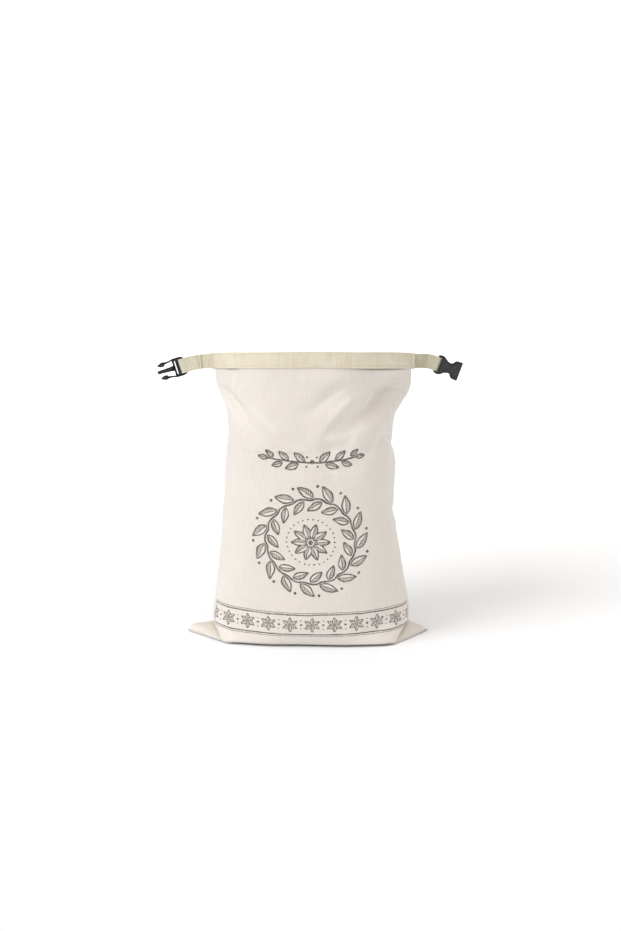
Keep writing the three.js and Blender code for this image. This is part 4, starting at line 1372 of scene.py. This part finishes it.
# Buckle. A side-release buckle is moulded in two halves from black plastic, with softened edges and a fine
# satin grain. The pronged half has two sprung arms and a guide, and the socket half is a waisted shell. Each
# half is laid out with x away from its tab.
BUCKLE_WIDTH = 26
BUCKLE_HALF = BUCKLE_WIDTH / 2
MALE_THICKNESS = 7
FEMALE_THICKNESS = 8.6
INSIDE_RAIL = TAB_WIDTH / 2 + 0.4
BODY_WALL = 1.3
PIN_X = -(PIN_CLEAR + PIN_RADIUS + PIN_CLEAR + BODY_WALL)
PIN_HALF_SPAN = BUCKLE_HALF - 1
EDGE_STEP = 0.5
MOULD_VOXEL = 0.26


def prism(ring, low, high, point):
    """Points and faces of a closed ring carried from low to high, from a function that makes each point."""
    count = len(ring)
    points = [point(corner, level) for level in (low, high) for corner in ring]
    walls = [[i, (i + 1) % count, count + (i + 1) % count, count + i] for i in range(count)]
    return points, [list(range(count))[::-1], [count + i for i in range(count)], *walls]


def plate(outline, y0, y1):
    """A plate cut to an outline in X and Z, lying between two values of Y."""
    return prism(outline, y0, y1, lambda corner, y: (corner[0], y, corner[1]))


def rod(x, radius, half_span, sides=14):
    """A round bar across the buckle."""
    turns = [2 * math.pi * i / sides for i in range(sides)]
    ring = [(x + radius * math.cos(turn), radius * math.sin(turn)) for turn in turns]
    return prism(ring, -half_span, half_span, lambda corner, z: (*corner, z))


def rectangle(x0, x1, z0, z1):
    return [(x0, z0), (x1, z0), (x1, z1), (x0, z1)]


def both_edges(upper):
    """An outline that is the same on both sides of the buckle's middle line, from its upper edge."""
    return list(upper) + flipped(upper)


def flipped(outline):
    return [(x, -z) for x, z in reversed(outline)]


def pair_of_plates(outline, half_thickness):
    """A plate on each side of the middle line."""
    return [plate(edge, -half_thickness, half_thickness) for edge in (outline, flipped(outline))]


def moulded(name, parts):
    """Overlapping plates and bars run together into one moulding with softened edges."""
    points = []
    faces = []
    for part_points, part_faces in parts:
        faces += [[corner + len(points) for corner in face] for face in part_faces]
        points += part_points
    rough = new_mesh(name + "_parts", points, faces)
    remesh = rough.modifiers.new("run together", "REMESH")
    remesh.mode = "VOXEL"
    remesh.voxel_size = MOULD_VOXEL
    soften = rough.modifiers.new("soften", "SMOOTH")
    soften.factor = 0.5
    soften.iterations = 3
    shape = rough.evaluated_get(bpy.context.evaluated_depsgraph_get())
    mesh = bpy.data.meshes.new_from_object(shape)
    bpy.data.objects.remove(rough)
    mesh.name = name
    mesh.polygons.foreach_set("use_smooth", np.ones(len(mesh.polygons), bool))
    piece = bpy.data.objects.new(name, mesh)
    bpy.context.scene.collection.objects.link(piece)
    return piece


EDGE_BLURS = 45
EDGE_ENDS = 0.72
FACE_STARTS = 0.97


def flat_faces(piece):
    """How flat the moulding lies round each point: 1 in the middle of a face and 0 along its edges."""
    normals = np.empty(len(piece.data.vertices) * 3, np.float32)
    piece.data.vertices.foreach_get("normal", normals)
    edges = np.empty(len(piece.data.edges) * 2, np.int32)
    piece.data.edges.foreach_get("vertices", edges)
    first, second = edges.reshape(-1, 2).T
    flat = np.abs(normals.reshape(-1, 3)[:, 1])
    meeting = np.bincount(edges, minlength=len(flat))
    for _ in range(EDGE_BLURS):
        total = np.bincount(first, flat[second], len(flat)) + np.bincount(second, flat[first], len(flat))
        flat = total / meeting
    return smoothstep(flat, EDGE_ENDS, FACE_STARTS)


def hang_on_tab(piece, tab):
    """Sets a buckle half at the end of its tab, turned to the tab's last angle."""
    outward, up, angle = (float(value) for value in along_tab(tab, tab_length(tab)))
    root = tab_root(tab)
    hanger = Matrix.Translation((root[0] + tab["side"] * outward, 0, root[2] + up))
    hanger @= Matrix.Rotation(tab["side"] * angle, 4, "Y")
    hanger @= Matrix.Translation((-PIN_X * tab["side"], 0, 0))
    hanger @= Matrix.Rotation(math.pi if tab["side"] < 0 else 0, 4, "Z")
    piece.data.transform(hanger)
    piece.data.transform(Matrix.Translation(Vector(SEAM_MIDDLE)) @ Matrix.Scale(MM, 4))


male_half = MALE_THICKNESS / 2
bar_half = BUCKLE_HALF - EDGE_STEP
arm_outline = [
    (7, 10.6), (7, 12.6), (14, 11.5), (18.8, 11.4), (20.6, 12.3), (24, 12.2),
    (29.2, 9.7), (29.2, 8.3), (25.4, 6.4), (20.4, 6.1), (19, 8.5), (13, 9.5),
]
leaf_rib = [(19.8, 9.7), (21.4, 10.6), (24.4, 10.6), (27.8, 9), (24.8, 7.8), (20.8, 7.6)]
rail_outline = [
    (-8, INSIDE_RAIL), (8, INSIDE_RAIL), (8, BUCKLE_HALF), (-3, BUCKLE_HALF), (-8, INSIDE_RAIL + 1.2),
]
male = moulded("buckle_prongs", [
    plate(rectangle(0, 3.7, -BUCKLE_HALF, BUCKLE_HALF), -male_half + EDGE_STEP, male_half - EDGE_STEP),
    plate(rectangle(0.7, 3.2, -bar_half, bar_half), -male_half, male_half),
    plate(rectangle(5.6, 8, -BUCKLE_HALF, BUCKLE_HALF), -male_half + EDGE_STEP, male_half - EDGE_STEP),
    plate(rectangle(6, 7.7, -bar_half, bar_half), -male_half, male_half),
    *pair_of_plates(rectangle(3, 6.4, INSIDE_RAIL - 1, BUCKLE_HALF), 3),
    *pair_of_plates(rail_outline, 2.6),
    plate(both_edges([(7, 3.8), (15, 2.9), (30.8, 2.2), (31.6, 1.4)]), -1.3, 1.3),
    plate(both_edges([(10, 1.5), (29, 0.9)]), -1.8, 1.8),
    *pair_of_plates(arm_outline, 1.8),
    *pair_of_plates(leaf_rib, 2.3),
    rod(PIN_X, PIN_RADIUS, PIN_HALF_SPAN),
])

female_half = FEMALE_THICKNESS / 2
inside_rails = [(0, -INSIDE_RAIL), (0, INSIDE_RAIL)]
shoulder = [(-5.4, INSIDE_RAIL), (-5.2, 11.6), (-3, 12.9), (0, 13.2), (3, 12.7), (5.6, 11)]
waist = [(8.4, 8.8), (11.6, 7.3), (14.6, 6.9), (17, 7.4)]
flare = [(20.2, 11.9), (22, 12.6), (28.5, 13)]
shell_outline = both_edges([*shoulder, *waist, *flare, (29.3, 12.4)]) + inside_rails
root_outline = both_edges([*shoulder, (8.2, 9)]) + inside_rails
cheek = [(19.5, 10.9), *flare, (29.3, 12.4), (29.3, 10.9)]
rim_end = [(27.7, -12.6), (29.3, -12.4), (29.3, 12.4), (27.7, 12.6)]
rim_side = [(17.6, 6.6), (17, 7.4), *flare, (28.5, 11.5), (22.5, 11.2), (21.3, 10.6)]
waist_rib = both_edges([(9.8, 6.4), (11.6, 5.9), (14.6, 5.5), (16.4, 5.9)])
raised = [plate(outline, y0, y1) for y0, y1 in ((3.2, female_half), (-female_half, -3.2))
          for outline in (rim_end, rim_side, flipped(rim_side), waist_rib)]
female = moulded("buckle_socket", [
    plate(shell_outline, 2.7, female_half - EDGE_STEP),
    plate(shell_outline, -female_half + EDGE_STEP, -2.7),
    plate(root_outline, -female_half + 0.3, female_half - 0.3),
    *pair_of_plates(cheek, female_half - 0.4),
    rod(PIN_X, PIN_RADIUS, PIN_HALF_SPAN),
    *raised,
])

# Black plastic straight from the mould, with a fine spark-eroded grain. Its flat faces are painted greyer
# than
# its edges: a painted reflection on the faces and painted shade along the edges.
PLASTIC_ROUGHNESS = 0.37
PLASTIC_GLOSS = 0.16
PLASTIC_EDGE_PAINTED_SHADE = (0.0025, 0.0025, 0.003, 1)
PLASTIC_FACE_PAINTED_REFLECTION = (0.034, 0.036, 0.036, 1)
PLASTIC_RUBBED = (0.052, 0.054, 0.054, 1)
GRAIN_SCALE = 2600
GRAIN_RELIEF = 0.00006
RUBBED_SCALE = 260
grain_group, grain_in, grain_out = new_group(
    "mould grain", [("Place", VECTOR, None)], [("Grain", FLOAT), ("Rubbed", FLOAT)],
)
place = grain_in.outputs["Place"]
plug(grain_group, noise(grain_group, place, GRAIN_SCALE), grain_out.inputs["Grain"])
plug(grain_group, noise(grain_group, place, RUBBED_SCALE, 3.0).tone(3, -1.5), grain_out.inputs["Rubbed"])
black_plastic, tree, shader = new_material("black moulded plastic", PLASTIC_ROUGHNESS)
shader.inputs["Specular IOR Level"].default_value = PLASTIC_GLOSS
where = tree.nodes.new("ShaderNodeTexCoord").outputs["Object"]
grain = place_group(tree, grain_group, Place=where)
rubbed = Field(tree, grain.outputs["Rubbed"])
face_colour = mixed(tree, rubbed, PLASTIC_FACE_PAINTED_REFLECTION, PLASTIC_RUBBED)
# Edges painted darker and flat faces painted greyer: painted shade along the edges and a painted reflection
# on the faces.
colour = mixed(tree, read_points(tree, "flat"), PLASTIC_EDGE_PAINTED_SHADE, face_colour)
plug(tree, colour, shader.inputs["Base Color"])
plug(tree, rubbed * -0.08 + PLASTIC_ROUGHNESS, shader.inputs["Roughness"])
plug(tree, bump(tree, grain.outputs["Grain"], 0.25, GRAIN_RELIEF), shader.inputs["Normal"])

for piece, tab in ((male, TABS["left"]), (female, TABS["right"])):
    give_point_values(piece, "flat", flat_faces(piece))
    hang_on_tab(piece, tab)
    piece.data.materials.append(black_plastic)
    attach(piece, "root")
    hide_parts(tab["buckle"])


# Floor and light. The floor is a wide pale dish of smooth paper, whose rim turns up so that no horizon shows.
# Farther out it gives off a little light, so that it stays white there. Sizes are in metres.
FLOOR_FLAT = 2.6
FLOOR_TURN = 1.6
FLOOR_TURN_STEPS = 12
FLOOR_SIDES = 64
GLOW_RADIUS = 1.7
GLOW_SOFT = 1.2
GLOW_STRENGTH = 0.26
FLOOR_MOTTLE_SCALE = 3.0
FLOOR_WHITE = (0.875, 0.90, 0.95, 1)
FLOOR_PALER = (0.895, 0.92, 0.97, 1)
floor_profile = [(0.6, 0.0), (1.4, 0.0), (FLOOR_FLAT, 0.0)]
for step in range(1, FLOOR_TURN_STEPS + 1):
    angle = math.pi / 2 * step / FLOOR_TURN_STEPS
    rim = (FLOOR_FLAT + FLOOR_TURN * math.sin(angle), FLOOR_TURN * (1 - math.cos(angle)))
    floor_profile.append(rim)
floor_angles = [2 * math.pi * side / FLOOR_SIDES for side in range(FLOOR_SIDES)]
floor_points = [(radius * math.cos(angle), radius * math.sin(angle), height)
                for radius, height in floor_profile for angle in floor_angles]
floor_faces = [list(range(FLOOR_SIDES))]
for inside in range(0, (len(floor_profile) - 1) * FLOOR_SIDES, FLOOR_SIDES):
    outside = inside + FLOOR_SIDES
    for side in range(FLOOR_SIDES):
        following = (side + 1) % FLOOR_SIDES
        floor_faces.append([inside + side, outside + side, outside + following, inside + following])
floor = new_mesh("floor", floor_points, floor_faces)
floor_paper, tree, shader = new_material("pale floor", 0.9)
place = tree.nodes.new("ShaderNodeTexCoord").outputs["Object"]
mottle = noise(tree, place, FLOOR_MOTTLE_SCALE)
plug(tree, mixed(tree, mottle, FLOOR_WHITE, FLOOR_PALER), shader.inputs["Base Color"])
floor_x, floor_y = coordinates(tree, place)
far_off = floor_x.length(floor_y).above(GLOW_RADIUS, GLOW_SOFT)
plug(tree, mixed(tree, far_off, (0, 0, 0, 1), (1, 1, 1, 1)), shader.inputs["Emission Color"])
shader.inputs["Emission Strength"].default_value = GLOW_STRENGTH
floor.data.materials.append(floor_paper)

# A dim warm sky fills the shadows. Each light has its direction round from the front, its height and how wide
# it is, all in degrees, its strength and its colour. One is a wide window at the left, and the other the pale
# ceiling over the table.
SKY_COLOUR = (1, 0.94, 0.85, 1)
SKY_STRENGTH = 0.22
LIGHTS = {
    "window": (-58, 36, 32, 1.6, (0.95, 0.97, 1.0)),
    "ceiling": (-20, 78, 110, 1.8, (1.0, 0.935, 0.83)),
}
world = bpy.data.worlds.new("warm sky")
world.use_nodes = True
world.node_tree.nodes["Background"].inputs["Color"].default_value = SKY_COLOUR
world.node_tree.nodes["Background"].inputs["Strength"].default_value = SKY_STRENGTH
bpy.context.scene.world = world
for name, (turn, height, width, strength, colour) in LIGHTS.items():
    light_data = bpy.data.lights.new(name, "SUN")
    light_data.angle = math.radians(width)
    light_data.energy = strength
    light_data.color = colour
    light = bpy.data.objects.new(name, light_data)
    turn, height = math.radians(turn), math.radians(height)
    towards = (math.sin(turn) * math.cos(height), -math.cos(turn) * math.cos(height), math.sin(height))
    light.rotation_euler = Vector(towards).to_track_quat("Z", "Y").to_euler()
    bpy.context.scene.collection.objects.link(light)

bpy.context.scene.view_settings.view_transform = "Standard"
